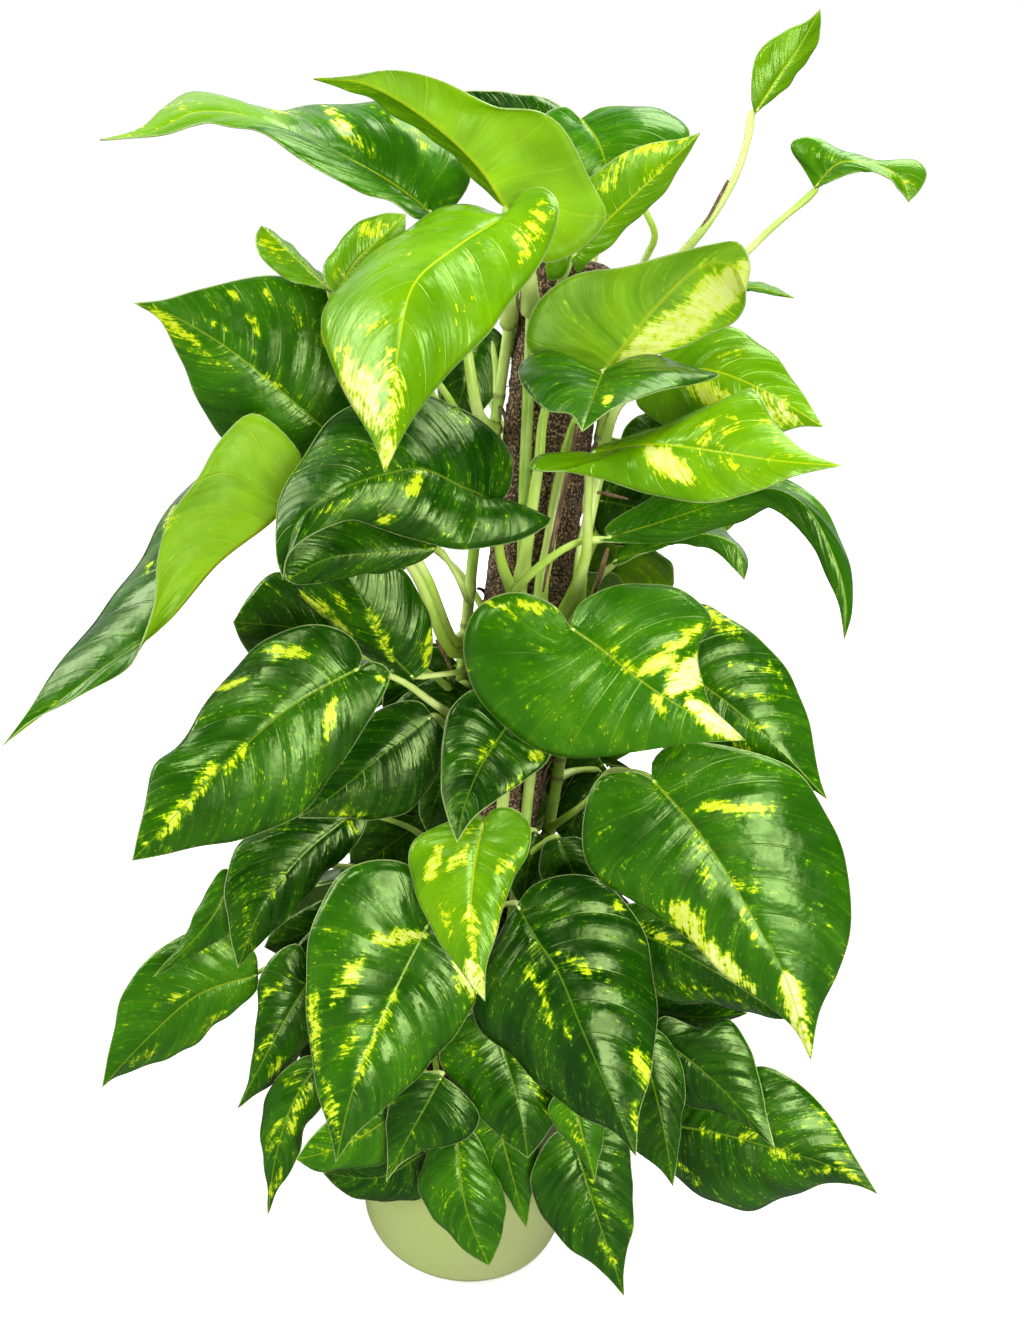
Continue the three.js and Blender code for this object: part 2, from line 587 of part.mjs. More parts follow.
    edgeB: [[636, 678], [640, 720], [667, 748], [720, 773], [770, 784], [808, 787]],
    behind: [10, 4],
  },
  {
    name: "leaf_middle_low", tone: "dark", stem: "stem_front", joint: 376,
    rib: [[508, 724, 64], [480, 768, 82], [464, 808, 100], [457, 843, 114]],
    edgeA: [[500, 704], [473, 690], [450, 711], [442, 745], [441, 785], [447, 816]],
    edgeB: [[522, 728], [545, 738], [550, 755], [528, 778], [500, 798], [474, 818]],
    behind: [8, 6],
  },
  {
    name: "leaf_middle_lime", tone: "lime", stem: "stem_left", joint: 312,
    rib: [[483, 822, 92], [474, 870, 104], [471, 920, 114], [478, 965, 122], [485, 1001, 126]],
    edgeA: [[472, 817], [440, 825], [414, 842], [411, 878], [424, 915], [448, 952], [472, 986]],
    edgeB: [[492, 810], [512, 808], [530, 824], [528, 850], [512, 885], [497, 930], [486, 970]],
    behind: [8, 8],
  },
  {
    name: "leaf_right_broad", tone: "dark", stem: "stem_right", joint: 330, rows: 9,
    via: [[588, 800, 40], [612, 770, 68]],
    rib: [[652, 779, 96], [690, 822, 106], [724, 869, 114], [756, 924, 122], [786, 979, 128], [811, 1060, 134]],
    edgeA: [[634, 772], [600, 777], [584, 815], [586, 855], [608, 889], [660, 919], [697, 947], [745, 990], [793, 1028]],
    edgeB: [[652, 762], [672, 744], [735, 748], [800, 775], [832, 820], [849, 878], [848, 925], [838, 975], [820, 1012]],
    behind: [10, 12],
  },
  {
    name: "leaf_low_left_upper", tone: "dark", stem: "stem_left", joint: 300,
    rib: [[352, 814, 52], [300, 858, 68], [262, 908, 80], [238, 968, 88]],
    edgeA: [[330, 803], [300, 812], [262, 825], [238, 845], [226, 885], [228, 925]],
    edgeB: [[366, 818], [360, 838], [330, 871], [300, 902], [268, 938], [251, 953]],
    behind: [6, 4],
  },
  {
    name: "leaf_low_left_outer", tone: "dark", stem: "stem_left", joint: 236,
    rib: [[258, 975, 50], [200, 994, 62], [150, 1036, 72], [102, 1087, 80]],
    edgeA: [[256, 954], [235, 931], [205, 927], [182, 935], [150, 957], [122, 996], [110, 1045]],
    edgeB: [[257, 988], [238, 1008], [198, 1040], [150, 1066], [115, 1077]],
    behind: [6, 6],
  },
  {
    name: "leaf_low_left_narrow", small: true, tone: "dark", stem: "stem_left", joint: 270,
    rib: [[236, 874, 62], [214, 915, 70], [186, 948, 74], [153, 977, 76]],
    edgeA: [[224, 868], [205, 893], [190, 926], [172, 955]],
    edgeB: [[246, 892], [232, 928], [205, 948], [176, 965]],
    behind: [3, 3],
  },
  {
    name: "leaf_low_middle", tone: "dark", stem: "stem_left", joint: 262, rows: 9,
    rib: [[428, 924, 84], [398, 985, 100], [370, 1045, 116], [350, 1100, 128], [336, 1162, 136]],
    edgeA: [[428, 896], [410, 866], [375, 860], [340, 874], [318, 915], [306, 965], [308, 1040], [320, 1095], [332, 1138]],
    edgeB: [[446, 930], [474, 952], [481, 990], [455, 1030], [430, 1066], [395, 1100], [360, 1128]],
    behind: [10, 8],
  },
  {
    name: "leaf_low_front", tone: "dark", stem: "stem_front", joint: 268, rows: 9,
    rib: [[517, 905, 78], [535, 937, 92], [557, 970, 104], [582, 1030, 122], [606, 1085, 134], [636, 1156, 142]],
    edgeA: [[532, 886], [565, 874], [600, 880], [630, 910], [652, 960], [658, 1010], [652, 1062], [640, 1108]],
    edgeB: [[506, 922], [486, 960], [474, 1010], [497, 1044], [540, 1086], [578, 1112], [614, 1132]],
    behind: [16, 2],
  },
  {
    name: "leaf_low_left_inner", small: true, tone: "dark", stem: "stem_left", joint: 222,
    rib: [[312, 975, 60], [290, 1012, 70], [268, 1052, 80], [238, 1108, 88]],
    edgeA: [[298, 944], [275, 954], [258, 985], [256, 1025], [250, 1075]],
    edgeB: [[325, 985], [321, 1020], [305, 1050], [275, 1080], [254, 1096]],
    behind: [4, 6],
  },
  {
    name: "leaf_low_left_tip", small: true, tone: "dark", stem: "stem_left", joint: 196,
    rib: [[322, 1057, 78], [292, 1105, 90], [275, 1160, 100], [268, 1214, 106]],
    edgeA: [[305, 1056], [276, 1080], [261, 1112], [264, 1155], [267, 1190]],
    edgeB: [[336, 1074], [326, 1100], [308, 1125], [293, 1165], [278, 1190]],
    behind: [4, 4],
  },
  {
    name: "leaf_low_right_upper", tone: "dark", stem: "stem_right", joint: 262,
    rib: [[612, 925, 56], [655, 940, 68], [720, 975, 80], [787, 1019, 88]],
    edgeA: [[622, 906], [660, 905], [710, 935], [760, 985]],
    edgeB: [[602, 948], [625, 985], [659, 1001], [700, 1001], [748, 1013], [770, 1018]],
    behind: [6, 8],
  },
  {
    name: "leaf_low_right_middle", tone: "dark", stem: "stem_right", joint: 198,
    rib: [[650, 1030, 78], [705, 1073, 90], [745, 1113, 100], [775, 1148, 108]],
    edgeA: [[664, 1016], [700, 1028], [729, 1019], [748, 1045], [760, 1080], [768, 1120]],
    edgeB: [[640, 1050], [650, 1080], [685, 1101], [720, 1114], [752, 1129]],
    behind: [6, 6],
  },
  {
    name: "leaf_low_right_outer", tone: "dark", stem: "stem_right", joint: 190,
    rib: [[668, 1125, 80], [720, 1134, 90], [775, 1149, 98], [830, 1166, 104], [878, 1194, 108]],
    edgeA: [[672, 1104], [692, 1092], [730, 1080], [762, 1066], [793, 1079], [828, 1112], [856, 1158]],
    edgeB: [[655, 1137], [662, 1162], [690, 1190], [740, 1207], [785, 1200], [825, 1184], [856, 1184]],
    behind: [14, 4],
  },
  {
    name: "leaf_low_right_hanging", small: true, tone: "dark", stem: "stem_front_right", joint: 232,
    rib: [[637, 1030, 86], [652, 1080, 98], [664, 1130, 108], [673, 1186, 114]],
    edgeA: [[654, 1028], [670, 1041], [683, 1072], [684, 1105], [678, 1150]],
    edgeB: [[620, 1040], [614, 1080], [620, 1128], [637, 1151], [660, 1168]],
    behind: [6, 6],
  },
  {
    name: "leaf_foot_middle", tone: "dark", stem: "stem_front", joint: 214,
    rib: [[492, 1012, 82], [506, 1060, 92], [520, 1110, 107], [528, 1158, 114]],
    edgeA: [[478, 1010], [452, 1030], [440, 1060], [463, 1094], [490, 1126], [512, 1146]],
    edgeB: [[514, 1014], [545, 1040], [567, 1075], [564, 1105], [550, 1128], [538, 1146]],
    behind: [0, 2],
  },
  {
    name: "leaf_foot_small", small: true, tone: "lime", stem: "stem_front_right", joint: 204,
    via: [[586, 1074, 80]],
    rib: [[572, 1090, 112], [580, 1125, 119], [588, 1155, 123], [595, 1181, 126]],
    edgeA: [[560, 1090], [549, 1108], [556, 1128], [576, 1150], [589, 1170]],
    edgeB: [[590, 1094], [604, 1112], [604, 1135], [598, 1162]],
    behind: [4, 4],
  },
  {
    name: "leaf_foot_right", tone: "dark", stem: "stem_front_right", joint: 186,
    rib: [[570, 1130, 103], [586, 1180, 111], [600, 1225, 117], [615, 1268, 121], [624, 1296, 122]],
    edgeA: [[556, 1132], [538, 1156], [531, 1190], [548, 1225], [575, 1250], [604, 1274]],
    edgeB: [[596, 1118], [625, 1138], [633, 1180], [632, 1225], [624, 1270]],
    behind: [0, 6],
  },
  {
    name: "leaf_foot_pale", small: true, tone: "lime", stem: "stem_front", joint: 196,
    rib: [[495, 1113, 99], [508, 1160, 102], [519, 1200, 103], [527, 1229, 103]],
    edgeA: [[480, 1112], [465, 1136], [484, 1163], [503, 1190], [519, 1217]],
    edgeB: [[515, 1112], [541, 1130], [538, 1160], [531, 1200]],
    behind: [0, 0],
  },
  {
    name: "leaf_foot_front", tone: "dark", stem: "stem_front", joint: 188,
    via: [[455, 1106, 91]],
    rib: [[457, 1126, 102], [460, 1172, 112], [468, 1215, 120], [489, 1266, 126]],
    edgeA: [[443, 1128], [426, 1156], [418, 1182], [432, 1214], [462, 1248]],
    edgeB: [[472, 1130], [490, 1163], [505, 1200], [503, 1232], [494, 1256]],
    behind: [4, 0],
  },
  {
    name: "leaf_foot_left", small: true, tone: "dark", stem: "stem_left", joint: 200,
    via: [[423, 1070, 82]],
    rib: [[442, 1076, 102], [415, 1125, 110], [397, 1158, 115], [386, 1182, 118]],
    edgeA: [[425, 1072], [396, 1090], [386, 1125], [388, 1160]],
    edgeB: [[456, 1086], [480, 1118], [462, 1140], [425, 1151], [403, 1162]],
    behind: [4, 0],
  },
  {
    name: "leaf_foot_yellow", small: true, tone: "lime", stem: "stem_left", joint: 188,
    via: [[408, 1068, 74]],
    rib: [[395, 1114, 98], [355, 1140, 104], [322, 1153, 108], [296, 1159, 110]],
    edgeA: [[380, 1100], [340, 1112], [312, 1136]],
    edgeB: [[402, 1138], [380, 1163], [345, 1170], [315, 1170]],
    behind: [4, 2],
  },
  {
    name: "leaf_foot_shaded", small: true, tone: "dark", stem: "stem_left", joint: 176,
    via: [[436, 1076, 78], [427, 1100, 97]],
    rib: [[428, 1150, 95], [380, 1177, 95], [323, 1173, 94]],
    edgeA: [[414, 1146], [370, 1155], [342, 1163]],
    edgeB: [[436, 1172], [423, 1195], [392, 1202], [362, 1199], [338, 1188]],
    behind: [3, 1],
  },
  {
    name: "leaf_top_new", small: true, tone: "lime", stem: "stem_right", joint: 676,
    via: [[689, 246, 22], [715, 212, 26], [736, 175, 30], [748, 138, 32]],
    rib: [[755, 113, 34], [775, 82, 36], [800, 45, 38], [820, 9, 38]],
    edgeA: [[751, 97], [758, 52], [785, 31], [808, 20]],
    edgeB: [[772, 99], [798, 74], [817, 42], [821, 22]],
    behind: [-3, 4],
  },
  {
    name: "leaf_top_right", tone: "dark", stem: "stem_right", joint: 656,
    via: [[735, 262, 10], [775, 225, 16]],
    rib: [[815, 188, 20], [838, 164, 26], [872, 164, 30], [900, 178, 30], [909, 202, 28]],
    edgeA: [[802, 166], [791, 144], [806, 137], [848, 151], [882, 163], [917, 161], [927, 173], [920, 190]],
    edgeB: [[826, 184], [842, 177], [864, 171], [885, 177], [899, 189]],
    behind: [8, -6],
  },
];

function seenBlade(leaf) {
  const rib = leaf.rib.map(seen);
  const outAt = (share) => {
    const place = share * (leaf.rib.length - 1);
    const first = Math.min(Math.floor(place), leaf.rib.length - 2);
    return THREE.MathUtils.lerp(leaf.rib[first][2], leaf.rib[first + 1][2], place - first);
  };
  const edge = (pixels, behind) => pixels.map(([px, py, out], index) => {
    const share = (index + 1) / (pixels.length + 1);
    const depth = behind * Math.sin(Math.PI * share) ** 0.6 * (1 - share ** 4);
    return seen([px, py, out ?? outAt(share ** VEIN_SWEEP) - depth]);
  });
  const edgeA = edge(leaf.edgeA, leaf.behind[0]);
  const edgeB = edge(leaf.edgeB, leaf.behind[1]);
  const rowCount = leaf.rows ?? (leaf.small ? 7 : 8);
  const blade = bladeRows(rib, edgeA, edgeB, rowCount, !leaf.small);
  const towardsEye = EYE.clone().sub(blade.base);
  const looksAtEye = bladeFacing(blade).dot(towardsEye) > 0;
  return looksAtEye === !leaf.under ? blade : bladeRows(rib, edgeB, edgeA, rowCount, !leaf.small);
}

// Small leaves in the shade between the others, fused to the stem that bears them
const shadeLeaves = [
  {
    small: true, stem: "stem_back", joint: 644,
    via: [[598, 238, -44], [585, 205, -20]],
    rib: [[552, 172, -4], [500, 122, -6], [440, 96, -8]],
    edgeA: [[572, 150], [562, 106], [520, 95], [478, 90]],
    edgeB: [[535, 180], [492, 152], [456, 118]],
    behind: [4, 4],
  },
  {
    small: true, stem: "stem_right", joint: 604,
    rib: [[700, 292, 24], [750, 287, 26], [794, 298, 28]],
    edgeA: [[722, 272], [756, 278], [780, 288]],
    edgeB: [[716, 308], [752, 296], [778, 299]],
    behind: [4, 0],
  },
  {
    small: true, stem: "stem_right", joint: 520,
    rib: [[668, 430, 24], [642, 431, 28], [619, 443, 30]],
    edgeA: [[662, 413], [642, 414], [626, 426]],
    edgeB: [[672, 446], [646, 449], [626, 449]],
    behind: [2, 2],
  },
  {
    small: true, stem: "stem_right", joint: 372,
    rib: [[600, 772, -22], [578, 812, -18], [563, 840, -16]],
    edgeA: [[582, 768], [560, 800], [555, 828]],
    edgeB: [[616, 790], [606, 825], [584, 842]],
    behind: [3, 3],
  },
  {
    small: true, stem: "stem_front_right", joint: 312,
    rib: [[558, 838, 44], [572, 870, 48], [585, 905, 50]],
    edgeA: [[545, 842], [540, 872], [556, 902]],
    edgeB: [[580, 838], [600, 862], [602, 892]],
    behind: [3, 3],
  },
  {
    small: true, stem: "stem_right", joint: 236,
    rib: [[622, 1004, 44], [690, 1017, 50], [748, 1013, 56]],
    edgeA: [[648, 990], [690, 994], [725, 1002]],
    edgeB: [[636, 1034], [670, 1041], [705, 1031], [730, 1020]],
    behind: [2, 2],
  },
  {
    small: true, stem: "stem_left", joint: 620,
    rib: [[486, 322, -8], [470, 370, -5], [452, 424, -3]],
    edgeA: [[466, 316], [442, 350], [438, 396]],
    edgeB: [[503, 338], [498, 384], [474, 420]],
    behind: [3, 3],
  },
  {
    small: true, stem: "stem_left", joint: 350,
    rib: [[455, 760, 36], [436, 798, 42], [427, 832, 46]],
    edgeA: [[444, 755], [423, 780], [419, 812]],
    edgeB: [[464, 780], [456, 810], [440, 832]],
    behind: [3, 3],
  },
];

// Leaves at the sides and back, in real sizes: azimuth of the notch round the pole, its distance
// from the pole and height, the blade's length, width and dip below level, and its turn sideways.
const hiddenLeaves = {
  stem_back_left: [
    { azimuth: -130, radius: 92, height: 640, size: [144, 102], dip: 28, turn: -8 },
    { azimuth: -152, radius: 102, height: 556, size: [150, 110], dip: 48, turn: 18 },
    { azimuth: -121, radius: 104, height: 520, size: [140, 104], dip: 42, turn: -12 },
    { azimuth: -138, radius: 108, height: 430, size: [152, 114], dip: 52, turn: 8 },
    { azimuth: -118, radius: 108, height: 372, size: [140, 102], dip: 48, turn: -6 },
    { azimuth: -143, radius: 110, height: 312, size: [138, 102], dip: 56, turn: 6 },
    { azimuth: -118, radius: 112, height: 256, size: [132, 98], dip: 52, turn: -10 },
  ],
  stem_back: [
    { azimuth: 170, radius: 88, height: 676, size: [138, 102], dip: 30, turn: 20 },
    { azimuth: 190, radius: 104, height: 596, size: [150, 112], dip: 46, turn: -10 },
    { azimuth: 168, radius: 106, height: 500, size: [148, 108], dip: 50, turn: 14 },
    { azimuth: 192, radius: 110, height: 404, size: [142, 104], dip: 52, turn: -14 },
    { azimuth: 174, radius: 112, height: 322, size: [142, 106], dip: 56, turn: 6 },
    { azimuth: 186, radius: 112, height: 246, size: [132, 96], dip: 54, turn: -8 },
  ],
  stem_back_right: [
    { azimuth: 130, radius: 94, height: 600, size: [144, 106], dip: 34, turn: 12 },
    { azimuth: 152, radius: 102, height: 532, size: [136, 102], dip: 50, turn: 4 },
    { azimuth: 120, radius: 96, height: 462, size: [130, 98], dip: 56, turn: 0 },
    { azimuth: 148, radius: 108, height: 424, size: [144, 106], dip: 54, turn: 10 },
    { azimuth: 120, radius: 106, height: 362, size: [138, 102], dip: 54, turn: 4 },
    { azimuth: 146, radius: 110, height: 314, size: [140, 104], dip: 56, turn: -4 },
    { azimuth: 121, radius: 110, height: 256, size: [132, 98], dip: 56, turn: 4 },
    { azimuth: 150, radius: 112, height: 222, size: [126, 94], dip: 58, turn: 10 },
  ],
};

// Half of a heart outline: share of the width, and share of the length from notch to tip
const HEART = [[0.17, -0.09], [0.36, -0.05], [0.48, 0.14], [0.47, 0.38], [0.36, 0.62], [0.17, 0.83], [0.05, 0.94]];
const DROOP = 38;

function hiddenBlade({ azimuth, radius, height, size: [length, width], dip, turn }) {
  const notch = around(azimuth, radius, height);
  const heading = THREE.MathUtils.degToRad(azimuth + turn);
  const outward = new THREE.Vector3(Math.sin(heading), -Math.cos(heading), 0);
  const sideways = new THREE.Vector3(Math.cos(heading), Math.sin(heading), 0);
  // The rib starts at the dip less half the droop and ends at the dip plus half of it.
  const ribAt = (share) => {
    const steps = 8;
    const place = notch.clone();
    for (let step = 0; step < steps; step += 1) {
      const part = share * ((step + 0.5) / steps);
      const slope = THREE.MathUtils.degToRad(dip + DROOP * (part - 0.5));
      place.addScaledVector(outward, (Math.cos(slope) * share * length) / steps);
      place.z -= (Math.sin(slope) * share * length) / steps;
    }
    return place;
  };
  const edge = (sign) => HEART.map(([across, along]) => {
    const place = along < 0 ? ribAt(0).addScaledVector(outward, along * length) : ribAt(along);
    place.addScaledVector(sideways, sign * across * width);
    place.z -= 0.12 * across * width;
    return place;
  });
  return bladeRows([0, 0.33, 0.66, 1].map(ribAt), edge(1), edge(-1), 6, false);
}

// Assembly
const SMALLEST_STEP = 0.05;

function leafSolid(leaf, blade) {
  const facing = bladeFacing(blade);
  return solidOf(bladeGeometry(blade)).add(solidOf(petioleGeometry(leaf, blade, facing))).simplify(SMALLEST_STEP);
}

function mesh(name, geometry, material) {
  const piece = new THREE.Mesh(geometry, material.clone());
  piece.name = name;
  return piece;
}

const plant = new THREE.Group();
const stemClearances = Object.fromEntries(Object.keys(stems).map((name) => [name, stemSolid(name, CLEARANCE)]));
const holes = [solidOf(poleGeometry(CLEARANCE)), ...Object.values(stemClearances)];

plant.add(mesh("pot", potGeometry(), materials.pot));
plant.add(mesh("soil", geometryOf(soilSolid(holes)), materials.soil));
plant.add(mesh("pole", poleGeometry(0), materials.pole));

for (const name of Object.keys(stems)) {
  let solid = stemSolid(name, 0);
  for (const leaf of shadeLeaves.filter(({ stem }) => stem === name)) {
    solid = solid.add(leafSolid(leaf, seenBlade(leaf)));
  }
  for (const leaf of hiddenLeaves[name] ?? []) {
    solid = solid.add(leafSolid({ stem: name, joint: leaf.height - 52 }, hiddenBlade(leaf)));
  }
  plant.add(mesh(name, geometryOf(solid), materials.stem));
}

for (const leaf of seenLeaves) {
  const solid = leafSolid(leaf, seenBlade(leaf)).subtract(stemClearances[leaf.stem]).simplify(SMALLEST_STEP);
  plant.add(mesh(leaf.name, geometryOf(solid), materials[leaf.tone]));
}

export default plant;
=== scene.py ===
import math
import random

import bpy
import numpy as np
from mathutils import Matrix, Vector


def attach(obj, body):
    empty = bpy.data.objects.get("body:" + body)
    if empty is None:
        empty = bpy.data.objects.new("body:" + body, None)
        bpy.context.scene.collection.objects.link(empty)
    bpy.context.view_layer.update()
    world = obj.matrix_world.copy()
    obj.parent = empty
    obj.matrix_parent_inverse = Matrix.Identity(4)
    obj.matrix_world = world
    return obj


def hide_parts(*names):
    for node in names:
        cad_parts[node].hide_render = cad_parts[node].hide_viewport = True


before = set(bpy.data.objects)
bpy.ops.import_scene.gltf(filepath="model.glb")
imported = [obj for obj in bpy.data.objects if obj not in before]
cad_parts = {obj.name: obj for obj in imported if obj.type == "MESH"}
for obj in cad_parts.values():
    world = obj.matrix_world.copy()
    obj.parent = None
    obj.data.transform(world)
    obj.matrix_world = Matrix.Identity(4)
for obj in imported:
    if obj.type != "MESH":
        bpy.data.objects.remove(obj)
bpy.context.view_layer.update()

# Camera: the plant is seen from a little above its top, tilted down and rolled a few degrees.
# It stands 0.65 m in front of the pole, with the lens of a wide phone camera held upright.
EYE = Vector((-0.0105, -0.646, 0.6625))
PITCH = math.radians(18)
ROLL = math.radians(7.2)
YAW = math.radians(-0.38)
PICTURE_WIDTH = 1024
PICTURE_HEIGHT = 1322
FOCAL_PIXELS = 1025
SENSOR = 0.036

forward = Vector((math.sin(YAW) * math.cos(PITCH), math.cos(YAW) * math.cos(PITCH), -math.sin(PITCH)))
level_right = Vector((math.cos(YAW), -math.sin(YAW), 0))
level_up = level_right.cross(forward)
view_right = level_right * math.cos(ROLL) + level_up * math.sin(ROLL)
view_up = level_up * math.cos(ROLL) - level_right * math.sin(ROLL)

camera_data = bpy.data.cameras.new("camera")
camera_data.sensor_fit = "AUTO"
camera_data.sensor_width = SENSOR * 1000
camera_data.lens = FOCAL_PIXELS * SENSOR * 1000 / PICTURE_HEIGHT
camera_data.clip_start = 0.01
camera_data.clip_end = 60
camera = bpy.data.objects.new("camera", camera_data)
turned = Matrix((view_right, view_up, -forward)).transposed().to_4x4()
camera.matrix_world = Matrix.Translation(EYE) @ turned
bpy.context.scene.collection.objects.link(camera)
bpy.context.scene.camera = camera


def seen(point):
    """The place in metres seen at a pixel, a number of millimetres in front of the pot's middle."""
    px, py, out = point
    across = (px - PICTURE_WIDTH / 2) / FOCAL_PIXELS
    rise = (PICTURE_HEIGHT / 2 - py) / FOCAL_PIXELS
    ray = forward + view_right * across + view_up * rise
    return EYE + ray * ((-out / 1000 - EYE.y) / ray.y)


# Floor and light: a plain white floor in a white room, with one large soft window high on the left
# in front, and a weaker one above. The room is darker at the back right, so gloss has shape.
FLOOR_SIZE = 30
FLOOR_COLOUR = (0.90, 0.90, 0.90, 1)
FLOOR_DIM = (0.16, 0.16, 0.16, 1)
WINDOWS = (
    ("left_window", (-2.1, -0.15, 1.0), (0.8, 1.5), 34),
    ("top_window", (0.75, 0.15, 2.7), (1.8, 1.5), 72),
    ("front_window", (0.75, -2.0, 0.60), (0.8, 1.2), 38),
    ("left_front_window", (-1.3, -1.7, 2.0), (0.7, 0.7), 20),
)
LIGHT_TARGET = Vector((0, 0, 0.45))

bpy.ops.object.select_all(action="DESELECT")
bpy.ops.mesh.primitive_plane_add(size=FLOOR_SIZE, location=(0, 0, 0))
floor = bpy.context.object
floor.name = "floor"
floor_paint = bpy.data.materials.new("floor_paint")
floor_paint.use_nodes = True
floor_nodes, floor_links = floor_paint.node_tree.nodes, floor_paint.node_tree.links
floor_base = floor_nodes["Principled BSDF"]
floor_base.inputs["Base Color"].default_value = FLOOR_COLOUR
floor_base.inputs["Roughness"].default_value = 0.9
floor_base.inputs["Emission Color"].default_value = (1, 1, 1, 1)
# Painted light: for the camera alone the floor glows white, faint near the pot and full from about a metre
# out, so it reads as brightly lit; every other ray sees it as dim grey.
floor_place = floor_nodes.new("ShaderNodeTexCoord")
floor_reach = floor_nodes.new("ShaderNodeVectorMath")
floor_reach.operation = "LENGTH"
floor_painted_glow = floor_nodes.new("ShaderNodeMapRange")
floor_painted_glow.inputs["From Min"].default_value = 0.10
floor_painted_glow.inputs["From Max"].default_value = 1.1
floor_painted_glow.inputs["To Min"].default_value = 0.35
floor_painted_glow.inputs["To Max"].default_value = 1.0
floor_links.new(floor_place.outputs["Object"], floor_reach.inputs[0])
floor_links.new(floor_reach.outputs["Value"], floor_painted_glow.inputs["Value"])
floor_links.new(floor_painted_glow.outputs["Result"], floor_base.inputs["Emission Strength"])
floor_dim = floor_nodes.new("ShaderNodeBsdfDiffuse")
floor_dim.inputs["Color"].default_value = FLOOR_DIM
floor_ray = floor_nodes.new("ShaderNodeLightPath")
floor_both = floor_nodes.new("ShaderNodeMixShader")
floor_links.new(floor_ray.outputs["Is Camera Ray"], floor_both.inputs[0])
floor_links.new(floor_dim.outputs[0], floor_both.inputs[1])
floor_links.new(floor_base.outputs[0], floor_both.inputs[2])
floor_links.new(floor_both.outputs[0], floor_nodes["Material Output"].inputs["Surface"])
floor.data.materials.append(floor_paint)


def soft_window(name, place, size, power):
    data = bpy.data.lights.new(name, "AREA")
    data.shape = "RECTANGLE"
    data.size, data.size_y = size
    data.energy = power
    light = bpy.data.objects.new(name, data)
    light.location = place
    light.rotation_mode = "QUATERNION"
    light.rotation_quaternion = (LIGHT_TARGET - place).to_track_quat("-Z", "Y")
    bpy.context.scene.collection.objects.link(light)


for name, place, size, power in WINDOWS:
    soft_window(name, Vector(place), size, power)

room = bpy.data.worlds.new("room")
room.use_nodes = True
bpy.context.scene.world = room
bpy.context.scene.view_settings.view_transform = "Standard"
room_nodes, room_links = room.node_tree.nodes, room.node_tree.links


def room_brightness(towards, low, high, darkest, brightest):
    """How bright the room is, from its dark side to the side that a direction points at."""
    direction = room_nodes.new("ShaderNodeTexCoord")
    side = room_nodes.new("ShaderNodeVectorMath")
    side.operation = "DOT_PRODUCT"
    side.inputs[1].default_value = Vector(towards).normalized()
    shade = room_nodes.new("ShaderNodeMapRange")
    shade.interpolation_type = "SMOOTHSTEP"
    for name, value in (
        ("From Min", low), ("From Max", high), ("To Min", darkest), ("To Max", brightest)
    ):
        shade.inputs[name].default_value = value
    room_links.new(direction.outputs["Generated"], side.inputs[0])
    room_links.new(side.outputs["Value"], shade.inputs["Value"])
    wall = room_nodes.new("ShaderNodeBackground")
    wall.inputs["Color"].default_value = (1, 1, 1, 1)
    room_links.new(shade.outputs["Result"], wall.inputs["Strength"])
    return wall.outputs[0]


def chosen(share, first, second):
    made = room_nodes.new("ShaderNodeMixShader")
    for slot, source in enumerate((share, first, second)):
        room_links.new(source, made.inputs[slot])
    return made.outputs[0]


soft_side = room_brightness((-0.4, -0.3, 0.8), -0.8, 0.9, 0.05, 0.38)
shiny_side = room_brightness((-0.1, 0.9, 0.25), 0.30, 0.9, 0.02, 1.1)
clean_wall = room_brightness((0, 0, 1), 2, 3, 1.08, 1.08)
ray = room_nodes.new("ShaderNodeLightPath")
room_light = chosen(ray.outputs["Is Glossy Ray"], soft_side, shiny_side)
room_light = chosen(ray.outputs["Is Camera Ray"], room_light, clean_wall)
room_links.new(room_light, room_nodes["World Output"].inputs["Surface"])


# Pot: a thin round plastic pot in pale sage green, satin and smooth, drawn in towards its foot. Its
# rim is rolled over slightly, and its floor stands on a low foot ring.
POT_FOOT_RADIUS = 0.0775
POT_RIM_RADIUS = 0.095
POT_HEIGHT = 0.163
POT_WALL = 0.004
POT_FLOOR = 0.006
POT_SIDES = 160
POT_GREEN = (0.46, 0.56, 0.165, 1)
POT_GREY_GREEN = (0.45, 0.51, 0.20, 1)


def wrapped_grid(name, centres, rings, sides):
    """A closed tube: a grid rolled round a line of centres. rings[step] is a function of the turn."""
    steps = len(centres) - 1
    bpy.ops.object.select_all(action="DESELECT")
    bpy.ops.mesh.primitive_grid_add(x_subdivisions=sides, y_subdivisions=steps, size=2)
    tube = bpy.context.object
    tube.name = name
    flat = np.zeros(len(tube.data.vertices) * 3, np.float32)
    tube.data.vertices.foreach_get("co", flat)
    flat = flat.reshape(-1, 3)
    side = np.rint((flat[:, 0] + 1) / 2 * sides).astype(int) % sides
    step = np.rint((flat[:, 1] + 1) / 2 * steps).astype(int)
    places = rings[step, side]
    tube.data.vertices.foreach_set("co", places.astype(np.float32).ravel())
    bpy.ops.object.mode_set(mode="EDIT")
    bpy.ops.mesh.select_all(action="SELECT")
    bpy.ops.mesh.remove_doubles(threshold=1e-7)
    bpy.ops.mesh.select_all(action="SELECT")
    bpy.ops.mesh.normals_make_consistent(inside=False)
    bpy.ops.object.mode_set(mode="OBJECT")
    bpy.ops.object.shade_smooth()
    return tube


def turned_profile(name, profile, sides):
    """A closed turned shape: its profile of radius and height starts and ends on the axis."""
    turn = np.arange(sides) / sides * 2 * math.pi
    rings = np.zeros((len(profile), sides, 3))
    for step, (radius, height) in enumerate(profile):
        rings[step, :, 0] = radius * np.cos(turn)
        rings[step, :, 1] = radius * np.sin(turn)
        rings[step, :, 2] = height
    return wrapped_grid(name, profile, rings, sides)


CORNER_STEP = 0.0006


